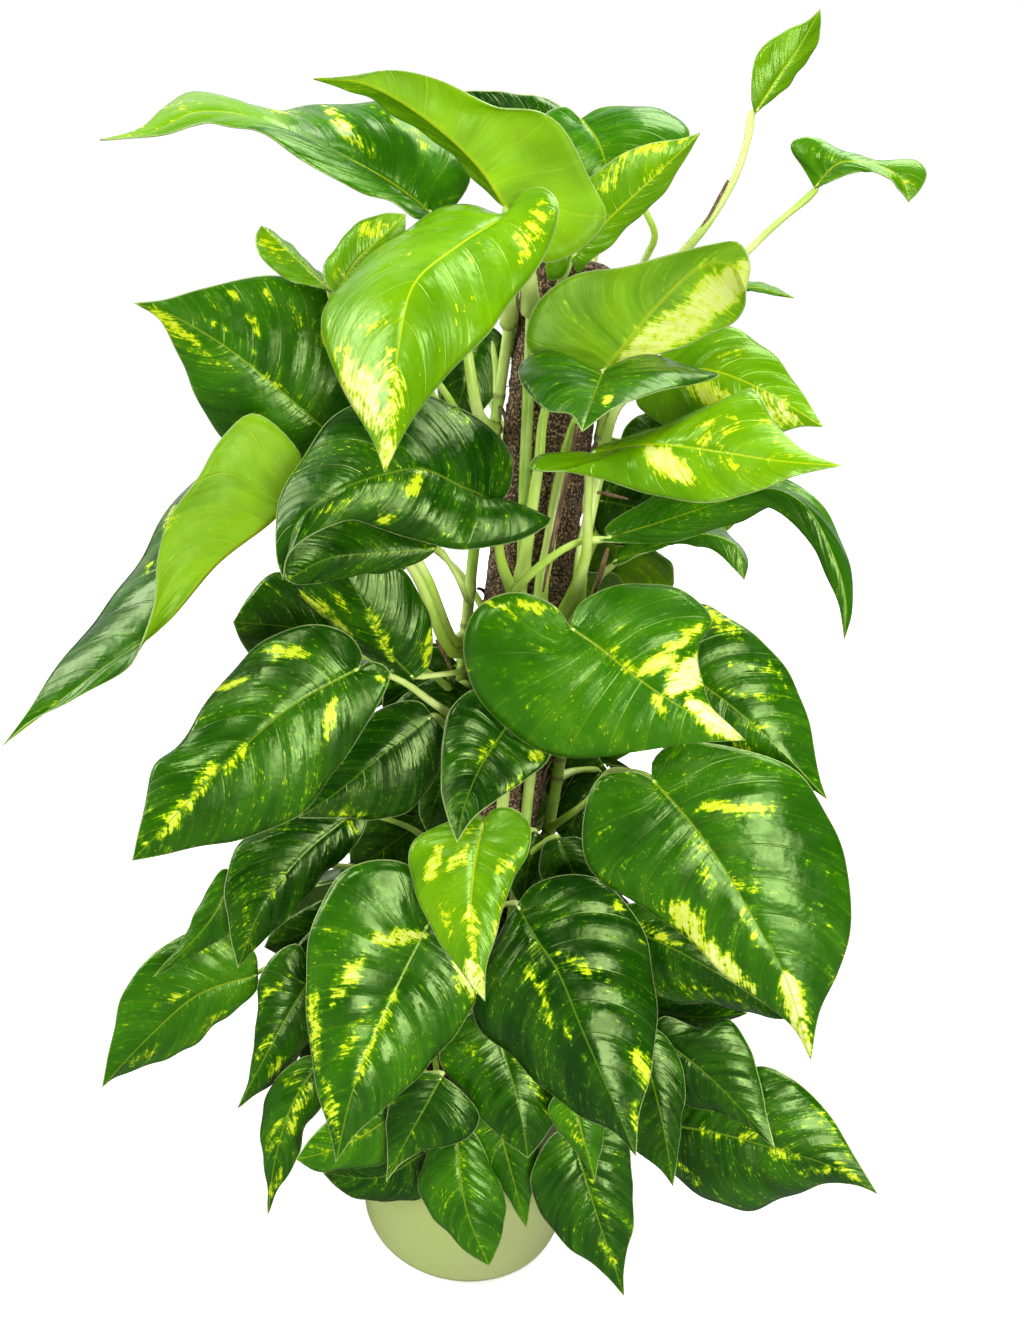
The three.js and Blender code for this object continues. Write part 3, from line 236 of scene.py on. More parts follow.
def rounded(profile):
    """A profile with short steps beside each corner, so that smooth shading keeps its form."""
    points = []
    for index, (radius, height) in enumerate(profile):
        if 0 < index < len(profile) - 1:
            for other in (profile[index - 1], profile[index + 1]):
                reach = math.dist((radius, height), other)
                share = min(CORNER_STEP / reach, 0.3)
                near = (radius + (other[0] - radius) * share, height + (other[1] - height) * share)
                points.append(near)
        else:
            points.append((radius, height))
    return points


pot_wall_slope = (POT_RIM_RADIUS - POT_FOOT_RADIUS) / POT_HEIGHT
pot_profile = [
    (0, 0.0012),
    (POT_FOOT_RADIUS - 0.012, 0.0012),
    (POT_FOOT_RADIUS - 0.0105, 0),
    (POT_FOOT_RADIUS - 0.004, 0),
    (POT_FOOT_RADIUS - 0.0012, 0.0012),
    (POT_FOOT_RADIUS + 0.0004, 0.005),
    (POT_FOOT_RADIUS + pot_wall_slope * 0.03, 0.03),
    (POT_FOOT_RADIUS + pot_wall_slope * 0.08, 0.08),
    (POT_RIM_RADIUS - 0.0012, POT_HEIGHT - 0.011),
    (POT_RIM_RADIUS - 0.0002, POT_HEIGHT - 0.0085),
    (POT_RIM_RADIUS, POT_HEIGHT - 0.002),
    (POT_RIM_RADIUS - 0.0012, POT_HEIGHT - 0.0003),
    (POT_RIM_RADIUS - 0.002, POT_HEIGHT),
    (POT_RIM_RADIUS - 0.0032, POT_HEIGHT - 0.0006),
    (POT_RIM_RADIUS - POT_WALL, POT_HEIGHT - 0.003),
    (POT_FOOT_RADIUS - POT_WALL, POT_FLOOR + 0.002),
    (POT_FOOT_RADIUS - POT_WALL - 0.002, POT_FLOOR),
    (0, POT_FLOOR),
]
pot = turned_profile("sage_pot", rounded(pot_profile), POT_SIDES)


def new_material(name):
    """A material with an emptied tree but for its Principled shader and output."""
    material = bpy.data.materials.new(name)
    material.use_nodes = True
    return material, material.node_tree, material.node_tree.nodes["Principled BSDF"]


def node(tree, kind, links=(), **values):
    """A node with its settings and links. values are settings, or inputs by number as i0, i1."""
    made = tree.nodes.new("ShaderNode" + kind)
    for key, value in values.items():
        if key[0] == "i" and key[1:].isdigit():
            made.inputs[int(key[1:])].default_value = value
        else:
            setattr(made, key, value)
    for slot, source in dict(links).items():
        tree.links.new(source, made.inputs[slot])
    return made


def noise(tree, place, scale, detail=3, roughness=0.5):
    made = node(tree, "TexNoise", {"Vector": place})
    made.inputs["Scale"].default_value = scale
    made.inputs["Detail"].default_value = detail
    made.inputs["Roughness"].default_value = roughness
    return made.outputs["Fac"]


def between(tree, value, low, high, to_low=0.0, to_high=1.0, smooth=True):
    made = node(tree, "MapRange", {"Value": value})
    made.interpolation_type = "SMOOTHSTEP" if smooth else "LINEAR"
    made.inputs["From Min"].default_value = low
    made.inputs["From Max"].default_value = high
    made.inputs["To Min"].default_value = to_low
    made.inputs["To Max"].default_value = to_high
    return made.outputs["Result"]


def blended(tree, share, first, second):
    """A mix of two colours, each a fixed colour or another node's output."""
    made = node(tree, "Mix", {0: share}, data_type="RGBA")
    for slot, colour in ((6, first), (7, second)):
        if isinstance(colour, tuple):
            made.inputs[slot].default_value = colour
        else:
            tree.links.new(colour, made.inputs[slot])
    return made.outputs[2]


def combined(tree, operation, first, second):
    made = node(tree, "Math", operation=operation)
    for slot, value in ((0, first), (1, second)):
        if isinstance(value, (int, float)):
            made.inputs[slot].default_value = value
        else:
            tree.links.new(value, made.inputs[slot])
    return made.outputs[0]


def raised(tree, height, shader, strength, distance):
    bump = node(tree, "Bump", {"Height": height})
    bump.inputs["Strength"].default_value = strength
    bump.inputs["Distance"].default_value = distance
    tree.links.new(bump.outputs["Normal"], shader.inputs["Normal"])


pot_plastic, tree, shader = new_material("pot_plastic")
place = node(tree, "TexCoord").outputs["Object"]
mottle = noise(tree, place, 9, 3)
tree.links.new(
    blended(tree, between(tree, mottle, 0.3, 0.7), POT_GREEN, POT_GREY_GREEN),
    shader.inputs["Base Color"]
)
fine = noise(tree, place, 900, 2)
tree.links.new(
    between(tree, noise(tree, place, 40, 4), 0.3, 0.7, 0.3, 0.42), shader.inputs["Roughness"]
)
raised(tree, fine, shader, 0.06, 0.0002)
shader.inputs["Coat Weight"].default_value = 0.15
shader.inputs["Coat Roughness"].default_value = 0.3
pot.data.materials.append(pot_plastic)
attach(pot, "root")
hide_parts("pot")


# Soil: dark peaty potting mix with bits of bark and a few white grains, level a little below the
# rim. The pole and the stems stand in it.
SOIL_TOP = 0.141
SOIL_RADIUS = 0.0882
SOIL_FLOOR = 0.0075
SOIL_BITS = 260
SOIL_DARK = (0.018, 0.011, 0.007, 1)
SOIL_LIGHT = (0.10, 0.062, 0.035, 1)
GRAIN_WHITE = (0.55, 0.52, 0.46, 1)

rough = random.Random(11)
soil_profile = [(0, SOIL_FLOOR), (POT_FOOT_RADIUS - POT_WALL - 0.001, SOIL_FLOOR)]
soil_profile += [(SOIL_RADIUS, SOIL_TOP - 0.004)]
soil_profile += [(SOIL_RADIUS * (1 - step / 24), SOIL_TOP - 0.0015) for step in range(1, 25)]
soil = turned_profile("potting_soil", soil_profile, 96)
for vertex in soil.data.vertices:
    if vertex.co.z > SOIL_TOP - 0.003:
        x, y = vertex.co.x, vertex.co.y
        wave = math.sin(x * 210 + 1) * math.cos(y * 180) + 0.6 * math.sin(x * 540 + y * 620)
        vertex.co.z += 0.0012 * wave
soil_bits = []
for index in range(SOIL_BITS):
    turn, radius = rough.uniform(0, math.tau), SOIL_RADIUS * 0.97 * math.sqrt(rough.random())
    bpy.ops.object.select_all(action="DESELECT")
    bpy.ops.mesh.primitive_ico_sphere_add(subdivisions=1, radius=rough.uniform(0.0008, 0.0030))
    bit = bpy.context.object
    flat = rough.uniform(0.3, 0.8)
    for vertex in bit.data.vertices:
        vertex.co *= rough.uniform(0.75, 1.2)
        vertex.co.z *= flat
    bit.data.transform(
        Matrix.Translation((radius * math.cos(turn), radius * math.sin(turn), SOIL_TOP + 0.0002))
        @ Matrix.Rotation(rough.uniform(0, 6), 4, "Z")
        @ Matrix.Rotation(rough.uniform(-0.6, 0.6), 4, "X")
    )
    soil_bits.append(bit)


def joined(pieces):
    """One object from several; the first gives its name and place."""
    bpy.ops.object.select_all(action="DESELECT")
    for piece in pieces:
        piece.select_set(True)
    bpy.context.view_layer.objects.active = pieces[0]
    bpy.ops.object.join()
    return bpy.context.object


soil = joined([soil, *soil_bits])
soil_mix, tree, shader = new_material("soil_mix")
place = node(tree, "TexCoord").outputs["Object"]
grain = noise(tree, place, 420, 5, 0.7)
colour = blended(tree, between(tree, grain, 0.35, 0.75), SOIL_DARK, SOIL_LIGHT)
colour = blended(tree, between(tree, noise(tree, place, 310, 2), 0.72, 0.76), colour, GRAIN_WHITE)
tree.links.new(colour, shader.inputs["Base Color"])
shader.inputs["Roughness"].default_value = 0.95
raised(tree, grain, shader, 0.8, 0.002)
soil.data.materials.append(soil_mix)
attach(soil, "root")
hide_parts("soil")


# Moss pole: a round pole of pressed brown coir, with tan chips and short fibres standing out of it.
# It stands in the soil in the middle of the pot and its top is slightly domed.
POLE_RADIUS = 0.028
POLE_TOP = 0.704
POLE_FOOT = 0.020
POLE_AXIS = Vector((-0.0105, 0.008))
POLE_SIDES = 96
POLE_STEPS = 330
POLE_FIBRES = 620
POLE_RELIEF = 0.0006
RELIEF_TURNS = 40
RELIEF_RISES = 140
COIR_DARK = (0.020, 0.010, 0.006, 1)
COIR_BROWN = (0.062, 0.036, 0.020, 1)
COIR_TAN = (0.42, 0.26, 0.13, 1)

heights = np.linspace(POLE_FOOT, POLE_TOP - 0.006, POLE_STEPS)
pole_profile = [(0, POLE_FOOT), *((POLE_RADIUS - 0.0006, height) for height in heights)]
pole_profile += [(POLE_RADIUS - 0.003, POLE_TOP - 0.003), (POLE_RADIUS - 0.008, POLE_TOP - 0.001)]
pole_profile += [(POLE_RADIUS - 0.016, POLE_TOP), (0, POLE_TOP)]
pole = turned_profile("coir_pole", pole_profile, POLE_SIDES)
chips = np.random.default_rng(5)
bumps = chips.normal(0, 1, (RELIEF_RISES, RELIEF_TURNS))
co = np.zeros(len(pole.data.vertices) * 3, np.float32)
pole.data.vertices.foreach_get("co", co)
co = co.reshape(-1, 3)
turn = (np.arctan2(co[:, 1], co[:, 0]) / math.tau % 1) * RELIEF_TURNS
rise = (co[:, 2] - POLE_FOOT) / (POLE_TOP - POLE_FOOT) * (RELIEF_RISES - 1)
low_turn = np.floor(turn).astype(int)
low_rise = np.clip(np.floor(rise).astype(int), 0, RELIEF_RISES - 2)
part_turn, part_rise = turn - low_turn, rise - low_rise


def corner(rise_step, turn_step):
    return bumps[low_rise + rise_step, (low_turn + turn_step) % RELIEF_TURNS]


swell = (corner(0, 0) * (1 - part_turn) + corner(0, 1) * part_turn) * (1 - part_rise)
swell += (corner(1, 0) * (1 - part_turn) + corner(1, 1) * part_turn) * part_rise
swell += chips.normal(0, 0.45, len(swell))
radius = np.hypot(co[:, 0], co[:, 1])
grown = 1 + np.clip(swell, -1.6, 1.2) * POLE_RELIEF / POLE_RADIUS * np.clip(radius / POLE_RADIUS, 0, 1)
co[:, 0] = co[:, 0] * grown + POLE_AXIS.x
co[:, 1] = co[:, 1] * grown + POLE_AXIS.y
pole.data.vertices.foreach_set("co", co.ravel())


def carried_frames(centres):
    """A heading and two crosswise directions at each centre, turned as little as possible."""
    centres = np.asarray(centres, float)
    ahead = np.gradient(centres, axis=0)
    ahead /= np.linalg.norm(ahead, axis=1, keepdims=True) + 1e-12
    across = Vector((0.6, 0.8, 0)).cross(Vector(ahead[0]))
    if across.length < 0.1:
        across = Vector((1, 0, 0)).cross(Vector(ahead[0]))
    across.normalize()
    sides = []
    for step, heading in enumerate(ahead):
        if step:
            across.rotate(Vector(ahead[step - 1]).rotation_difference(Vector(heading)))
        across = (across - Vector(heading) * across.dot(Vector(heading))).normalized()
        sides.append(across.copy())
    sides = np.array(sides)
    return ahead, sides, np.cross(ahead, sides)


def round_stalk(name, centres, radii, sides, groove=0.0):
    """A closed round stalk along a line. groove sinks a channel along its upper side."""
    ahead, across, upright = carried_frames(centres)
    centres = np.asarray(centres, float)
    turn = np.arange(sides) / sides * math.tau
    rings = np.zeros((len(centres), sides, 3))
    for step, centre in enumerate(centres):
        out = np.outer(np.cos(turn), across[step]) + np.outer(np.sin(turn), upright[step])
        channel = 1 - groove * np.clip(out[:, 2], 0, 1) ** 4
        rings[step] = centre + out * (radii[step] * channel)[:, None]
    capped = np.concatenate([rings[:1] * 0 + centres[0], rings, rings[:1] * 0 + centres[-1]])
    return wrapped_grid(name, [0] * len(capped), capped, sides)


def thin_hairs(name, roots, sides=4):
    """Many short fibres in one mesh. Each root is a list of centres and a radius."""
    places, faces = [], []
    for centres, radius in roots:
        ahead, across, upright = carried_frames(centres)
        first = len(places)
        for step, centre in enumerate(centres):
            thin = radius * (1 - 0.75 * step / (len(centres) - 1))
            for side in range(sides):
                turn = side / sides * math.tau
                out = across[step] * math.cos(turn) + upright[step] * math.sin(turn)
                places.append(np.asarray(centre) + out * thin)
        for step in range(len(centres) - 1):
            for side in range(sides):
                a, b = first + step * sides + side, first + step * sides + (side + 1) % sides
                faces.append((a, b, b + sides, a + sides))
        faces.append(tuple(first + side for side in reversed(range(sides))))
        faces.append(tuple(first + (len(centres) - 1) * sides + side for side in range(sides)))
    mesh = bpy.data.meshes.new(name)
    mesh.from_pydata([tuple(p) for p in places], [], faces)
    hairs = bpy.data.objects.new(name, mesh)
    bpy.context.scene.collection.objects.link(hairs)
    return hairs


fibres = []
for index in range(POLE_FIBRES):
    turn, height = rough.uniform(0, math.tau), rough.uniform(SOIL_TOP, POLE_TOP - 0.004)
    lean, stand = rough.uniform(-2.2, 2.2), rough.uniform(0.0006, 0.0032)
    reach = rough.uniform(0.003, 0.010)
    line = []
    for step in range(4):
        share = step / 3
        around_pole = turn + lean * reach * share / POLE_RADIUS
        radius = POLE_RADIUS - 0.0008 + stand * math.sin(share * math.pi * 0.9)
        line.append((
            POLE_AXIS.x + radius * math.cos(around_pole),
            POLE_AXIS.y + radius * math.sin(around_pole),
            height + reach * share * math.copysign(1 - 0.4 * abs(lean) / 2.2, lean),
        ))
    fibres.append((line, rough.uniform(0.00018, 0.00042)))
pole = joined([pole, thin_hairs("pole_fibres", fibres)])
coir, tree, shader = new_material("coir")
place = node(tree, "TexCoord").outputs["Object"]
clumps = noise(tree, place, 130, 5, 0.75)
chip = noise(tree, place, 620, 3, 0.6)
colour = blended(tree, between(tree, clumps, 0.35, 0.7), COIR_DARK, COIR_BROWN)
colour = blended(tree, between(tree, chip, 0.50, 0.60), colour, COIR_TAN)
tree.links.new(colour, shader.inputs["Base Color"])
shader.inputs["Roughness"].default_value = 0.92
raised(tree, chip, shader, 0.7, 0.0015)
pole.data.materials.append(coir)
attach(pole, "root")
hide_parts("pole")


# Stems: seven vines root in the soil and climb the pole, smooth, pale green and round, ringed at
# each node where a leaf stalk leaves, and held to the coir by short brown aerial roots.
STEM_RADIUS = 0.0046
STEM_TAPER = 0.0012
AGAINST_POLE = 33.0
STEM_SIDES = 14
STEM_GREEN = (0.22, 0.44, 0.012, 1)
STEM_PALE = (0.64, 0.80, 0.20, 1)
STEM_BROWN = (0.10, 0.060, 0.030, 1)
NODE_BROWN = (0.16, 0.115, 0.045, 1)


def around(azimuth, radius, height):
    """A place round the pole, in metres: azimuth in degrees from the front towards the right."""
    turn = math.radians(azimuth)
    radius, height = radius / 1000, height / 1000
    return Vector(
        (POLE_AXIS.x + radius * math.sin(turn), POLE_AXIS.y - radius * math.cos(turn), height)
    )


class SmoothLine:
    """A smooth line through points, read by the share of its length."""

    def __init__(self, points, pieces=20):
        points = [np.array(point, float) for point in points]
        before = [2 * points[0] - points[1], *points, 2 * points[-1] - points[-2]]
        line = []
        for index in range(1, len(before) - 2):
            p0, p1, p2, p3 = before[index - 1:index + 3]
            gap0, gap1, gap2 = (
                max(np.linalg.norm(b - a) ** 0.5, 1e-4) for a, b in ((p0, p1), (p1, p2), (p2, p3))
            )
            leave = ((p1 - p0) / gap0 - (p2 - p0) / (gap0 + gap1) + (p2 - p1) / gap1) * gap1
            arrive = ((p2 - p1) / gap1 - (p3 - p1) / (gap1 + gap2) + (p3 - p2) / gap2) * gap1
            for step in range(pieces):
                t = step / pieces
                line.append(
                    p1 + leave * t + (-3 * p1 + 3 * p2 - 2 * leave - arrive) * t ** 2
                    + (2 * p1 - 2 * p2 + leave + arrive) * t ** 3
                )
        line.append(points[-1])
        self.line = np.array(line)
        steps = np.linalg.norm(np.diff(self.line, axis=0), axis=1)
        self.lengths = np.concatenate([[0], np.cumsum(steps)])
        self.length = self.lengths[-1]

    def at(self, share):
        along = np.asarray(share, float) * self.length
        return np.stack([np.interp(along, self.lengths, self.line[:, axis]) for axis in range(3)], -1)

    def heading(self, share):
        share = np.asarray(share, float)
        ahead = self.at(np.clip(share + 0.012, 0, 1)) - self.at(np.clip(share - 0.012, 0, 1))
        return ahead / np.linalg.norm(ahead, axis=-1, keepdims=True)


# azimuth, distance from the pole's middle and height of each stem's bends, in degrees and mm
stem_bends = {
    "stem_front": [
        (8, 44, 96), (4, 40, 150), (2, AGAINST_POLE, 220), (6, AGAINST_POLE, 300),
        (0, AGAINST_POLE, 400),
        (-7, AGAINST_POLE, 507), (-19, AGAINST_POLE, 581), (-27, AGAINST_POLE, 633),
        (-36, AGAINST_POLE, 686),
    ],
    "stem_front_right": [
        (40, 48, 96), (40, 42, 150), (36, AGAINST_POLE, 240), (34, AGAINST_POLE, 340),
        (30, AGAINST_POLE, 430), (33, AGAINST_POLE, 480),
    ],
    "stem_left": [
        (-70, 46, 96), (-72, 42, 150), (-76, AGAINST_POLE + 1, 250), (-84, AGAINST_POLE + 2, 360),
        (-92, 37, 450), (-94, 38, 530), (-90, AGAINST_POLE + 0.5, 603), (-66, AGAINST_POLE, 690),
    ],
    "stem_right": [
        (100, 48, 96), (98, 42, 150), (90, AGAINST_POLE, 240), (88, 36, 330),
        (84, 37, 380), (92, AGAINST_POLE, 470), (88, AGAINST_POLE, 560), (78, AGAINST_POLE, 684),
    ],
    "stem_back_left": [
        (-132, 46, 96), (-134, 42, 150), (-138, AGAINST_POLE, 260), (-132, AGAINST_POLE, 380),
        (-140, AGAINST_POLE, 500), (-134, AGAINST_POLE, 610), (-138, AGAINST_POLE, 680),
    ],
    "stem_back": [
        (178, 46, 96), (180, 42, 150), (184, AGAINST_POLE, 270), (176, AGAINST_POLE, 400),
        (182, AGAINST_POLE, 530), (176, AGAINST_POLE, 650),
    ],
    "stem_back_right": [
        (140, 46, 96), (138, 42, 150), (134, AGAINST_POLE, 260), (138, AGAINST_POLE, 390),
        (132, AGAINST_POLE, 500), (136, AGAINST_POLE, 600),
    ],
}
stem_lines = {name: SmoothLine([around(*bend) for bend in bends]) for name, bends in stem_bends.items()}


def stem_at(name, height):
    """The place on a stem's middle line at a height in millimetres."""
    line = stem_lines[name].line
    return np.array([np.interp(height / 1000, line[:, 2], line[:, axis]) for axis in range(3)])


# Leaf blades. Each is grown row by row along its side veins, from the notch where the stalk joins to
# the tip, then given a soft quilting between the veins, a sunk midrib and a thin wavy margin.
VEIN_SWEEP = 1.6
VEIN_LEAN = 0.16
HALF_DOME = 0.1
LOBE_SPREAD = 0.35
BLADE_THICKNESS = 0.0007
RIB_SINK = 0.0009
RIB_HALF_WIDTH = 0.0017
SIDE_VEINS = 10

DEEP_GREEN = (0.0036, 0.040, 0.0010, 1)
FRESH_GREEN = (0.034, 0.180, 0.0016, 1)
LIME_GREEN = (0.155, 0.390, 0.0012, 1)
FLECK_YELLOW = (0.70, 0.84, 0.010, 1)
# The cream of the pale flecks, which also paints the few highlights brushed on as strokes.
FLECK_AND_HIGHLIGHT_CREAM = (0.95, 0.97, 0.48, 1)
RIB_GREEN = (0.10, 0.24, 0.012, 1)
SHEEN_TINT = (0.70, 1.0, 0.34, 1)
MARGIN_PALE = (0.46, 0.60, 0.20, 1)
UNDER_DARK = (0.030, 0.105, 0.008, 1)
UNDER_FRESH = (0.120, 0.320, 0.005, 1)
UNDER_LIME = (0.310, 0.640, 0.0020, 1)


def unit(vectors):
    return vectors / (np.linalg.norm(vectors, axis=-1, keepdims=True) + 1e-12)


def dot(first, second):
    return (first * second).sum(-1, keepdims=True)


def softened(values, width):
    """Values averaged along their first axis with a bell of that many rows."""
    reach = max(int(width * 3), 1)
    bell = np.exp(-0.5 * (np.arange(-reach, reach + 1) / width) ** 2)
    bell /= bell.sum()
    padded = np.concatenate([np.repeat(values[:1], reach, 0), values, np.repeat(values[-1:], reach, 0)])
    return sum(weight * padded[step:step + len(values)] for step, weight in enumerate(bell))


def vein_rows(rib_points, edge_points, rows, half_columns):
    """The blade's middle surface as rows of points, edge to edge, and what lies where on it."""
    rib = SmoothLine(rib_points)
    share = np.linspace(0, 1, rows + 1)
    on_rib, heading = rib.at(share ** VEIN_SWEEP), rib.heading(share ** VEIN_SWEEP)
    halves = []
    for sign, points in zip((1, -1), edge_points):
        edge = SmoothLine([rib_points[0], *points, rib_points[-1]])
        on_edge = edge.at(share)
        across = on_edge - on_rib
        ahead = dot(across, heading)
        level = across - heading * ahead
        half_way = edge.at(0.45) - rib.at(0.45 ** VEIN_SWEEP)
        fallback = half_way - heading * dot(half_way, heading)
        spread = np.linalg.norm(level, axis=1, keepdims=True) / np.maximum(-ahead, 1e-9)
        spread[ahead > -1e-6] = 9
        swing = np.clip((1.1 - spread) / 0.6, 0, 1)
        swing = swing * swing * (3 - 2 * swing)
        sideways = unit(unit(level) * (1 - swing) + unit(fallback) * swing)
        sideways[0], sideways[-1] = sideways[1], sideways[-2]
        reach = dot(across, sideways)
        upward = unit(np.cross(heading, sideways) if sign == 1 else np.cross(sideways, heading))
        rise = dot(across, upward)
        bulge = np.sin(math.pi * share)[:, None]
        near_notch = np.exp(-((share - 0.125) / 0.05) ** 2)[:, None]
        middle = on_rib + sideways * np.maximum(0.525 * reach, -LOBE_SPREAD * ahead)
        middle += heading * (
            np.where(ahead > 0, 0.375, 0.25) * ahead + 0.14 * np.abs(reach) * near_notch
        )
        middle += upward * (0.5 * rise + HALF_DOME * np.abs(reach) * bulge)
        plain = 0.5 * (on_rib + on_edge)
        middle = plain + softened(middle - plain, rows * 0.035)
        halves.append((on_edge, middle))
    steps = np.linspace(0, 1, half_columns + 1) ** 1.25
    columns = []
    for (on_edge, middle), shares in ((halves[0], steps[::-1]), (halves[1], steps[1:])):
        for s in shares:
            columns.append(
                on_rib * (1 - s) * (1 - 2 * s) + middle * 4 * s * (1 - s) + on_edge * s * (2 * s - 1)
            )
    surface = np.stack(columns, 1)
    side_share = np.concatenate([-steps[::-1], steps[1:]])
    return surface, on_rib, (halves[0][0], halves[1][0]), share, side_share


def surface_normals(surface):
    across = np.gradient(surface, axis=1)
    ahead = np.gradient(surface, axis=0)
    normals = np.cross(across, ahead)
    size = np.linalg.norm(normals, axis=-1, keepdims=True)
    normals = normals / (size + 1e-12)
    normals[0], normals[-1] = normals[1], normals[-2]
    return unit(softened(normals, 1.2))


def shown_side(surface):
    normals = np.cross(np.gradient(surface, axis=1), np.gradient(surface, axis=0))
    normals = normals[1:-1] / (np.linalg.norm(normals[1:-1], axis=-1, keepdims=True) + 1e-12)
    return unit(normals.reshape(-1, 3).sum(0))


def pixels_of(places):
    """Where places in metres are seen, as pixels."""
    offset = places - np.array(EYE)
    depth = offset @ np.array(forward)
    px = PICTURE_WIDTH / 2 + FOCAL_PIXELS * (offset @ np.array(view_right)) / depth
    py = PICTURE_HEIGHT / 2 - FOCAL_PIXELS * (offset @ np.array(view_up)) / depth
    return np.stack([px, py], -1)


def brushed(places, strokes):
    """How strongly the pale strokes mark each place, and how creamy they are there."""
    mark = np.zeros(places.shape[:-1])
    cream = np.zeros(places.shape[:-1])
    if strokes:
        pixels = pixels_of(places)
    for x1, y1, x2, y2, width, strength, creamy in strokes:
        start, end = np.array((x1, y1), float), np.array((x2, y2), float)
        way = end - start
        part = np.clip((pixels - start) @ way / (way @ way + 1e-9), 0, 1)
        taper = 0.4 + 0.6 * np.sin(math.pi * part ** 0.8)
        away = np.linalg.norm(pixels - start - part[..., None] * way, axis=-1) / (width * 1.25 * taper)
        here = strength * np.clip(1.35 - away, 0, 1) ** 1.2
        mark = np.maximum(mark, here)
        cream = np.maximum(cream, creamy * np.clip(here * 1.5, 0, 1))
    return mark, cream


TIP_FROM = 0.6
TIP_FADE = 0.05


def kept_at_points(mesh, name, kind, slot, values):
    """Values kept at a mesh's points for its material to read."""
    mesh.attributes.new(name, kind, "POINT").data.foreach_set(slot, values.astype(np.float32).ravel())


def grown_blade(
    name, rows_of, tones, flecks, strokes, seed, materials, wave=0.0018, quilt=0.0016, tip=0.0
):
    """One blade as a closed thin solid, from the rows that vein_rows gives."""
    surface, on_rib, on_edges, share, side_share = rows_of
    row_total, column_total = surface.shape[:2]
    normals = surface_normals(surface)
    side = np.abs(side_share)[None, :]
    v = share[:, None]
    signs = np.where(side_share < 0, 0, 1)
    from_rib = np.linalg.norm(surface - on_rib[:, None], axis=-1)
    edges = np.stack(on_edges, 0)
    from_edge = np.linalg.norm(surface - np.stack([edges[s] for s in signs], 1), axis=-1)
    length = np.linalg.norm(on_rib[-1] - on_rib[0])
    size = min(length / 0.14, 1.2)
    vein = v - VEIN_LEAN * side ** 1.4 * np.sin(math.pi * v) ** 0.8
    swell = 1 + 0.35 * np.sin(math.tau * (3.1 * vein + seed * 7)) * np.sign(side_share)[None, :]
    between_veins = np.abs(np.sin(math.pi * (SIDE_VEINS * vein + seed))) * swell
    relief = quilt * size * (between_veins ** 0.7 - 0.55) * np.clip(side * 3, 0, 1) * (1 - side ** 3)
    relief = relief * np.sin(math.pi * np.clip(v * 1.1, 0, 1))
    relief -= RIB_SINK * size * np.exp(-(from_rib / (RIB_HALF_WIDTH * size)) ** 2) * (1 - v ** 3)
    ripples = np.sin(math.tau * (2.3 * v + seed * 3)) + 0.6 * np.sin(
        math.tau * (5.1 * v - seed * 5 + 0.3)
    )
    relief += wave * size * side ** 3 * ripples * np.sin(math.pi * v)
    places = surface + normals * relief[..., None]
    mark, cream = brushed(surface, strokes)
    bpy.ops.object.select_all(action="DESELECT")
    bpy.ops.mesh.primitive_grid_add(
        x_subdivisions=column_total - 1, y_subdivisions=row_total - 1, size=2
    )
    blade = bpy.context.object
    blade.name = name
    mesh = blade.data
    flat = np.zeros(len(mesh.vertices) * 3, np.float32)
    mesh.vertices.foreach_get("co", flat)
    flat = flat.reshape(-1, 3)
    column = np.rint((flat[:, 0] + 1) / 2 * (column_total - 1)).astype(int)
    row = np.rint((flat[:, 1] + 1) / 2 * (row_total - 1)).astype(int)
    mesh.vertices.foreach_set("co", places[row, column].astype(np.float32).ravel())
    signed = from_rib * 1000 * np.sign(side_share)[None, :]
    values = np.stack([signed, vein, from_edge * 1000], -1)
    kept_at_points(mesh, "blade_place", "FLOAT_VECTOR", "vector", values[row, column])
    tone = np.full_like(mark, tones[0]) + tip * np.clip((v - TIP_FROM) / TIP_FADE, 0, 1)
    values = np.stack([tone, mark + flecks, cream], -1)
    kept_at_points(mesh, "blade_colour", "FLOAT_VECTOR", "vector", values[row, column])
    kept_at_points(mesh, "blade_under", "FLOAT_VECTOR", "vector", np.full(len(mesh.vertices) * 3, tones[1]))
    kept_at_points(mesh, "blade_seed", "FLOAT", "value", np.full(len(mesh.vertices), seed))
    bpy.ops.object.mode_set(mode="EDIT")
    bpy.ops.mesh.select_all(action="SELECT")
    bpy.ops.mesh.remove_doubles(threshold=1e-7)
    bpy.ops.object.mode_set(mode="OBJECT")
    for material in materials:
        mesh.materials.append(material)
    thick = blade.modifiers.new("thickness", "SOLIDIFY")
    thick.thickness = BLADE_THICKNESS
    thick.offset = 0
    thick.material_offset = 1
    thick.material_offset_rim = 0
    bpy.ops.object.modifier_apply(modifier="thickness")
    bpy.ops.object.shade_smooth()
    return blade


BLADE_COLOURS = ("Base", "Fresh", "Lime", "Fleck", "Cream", "Rib", "Margin")


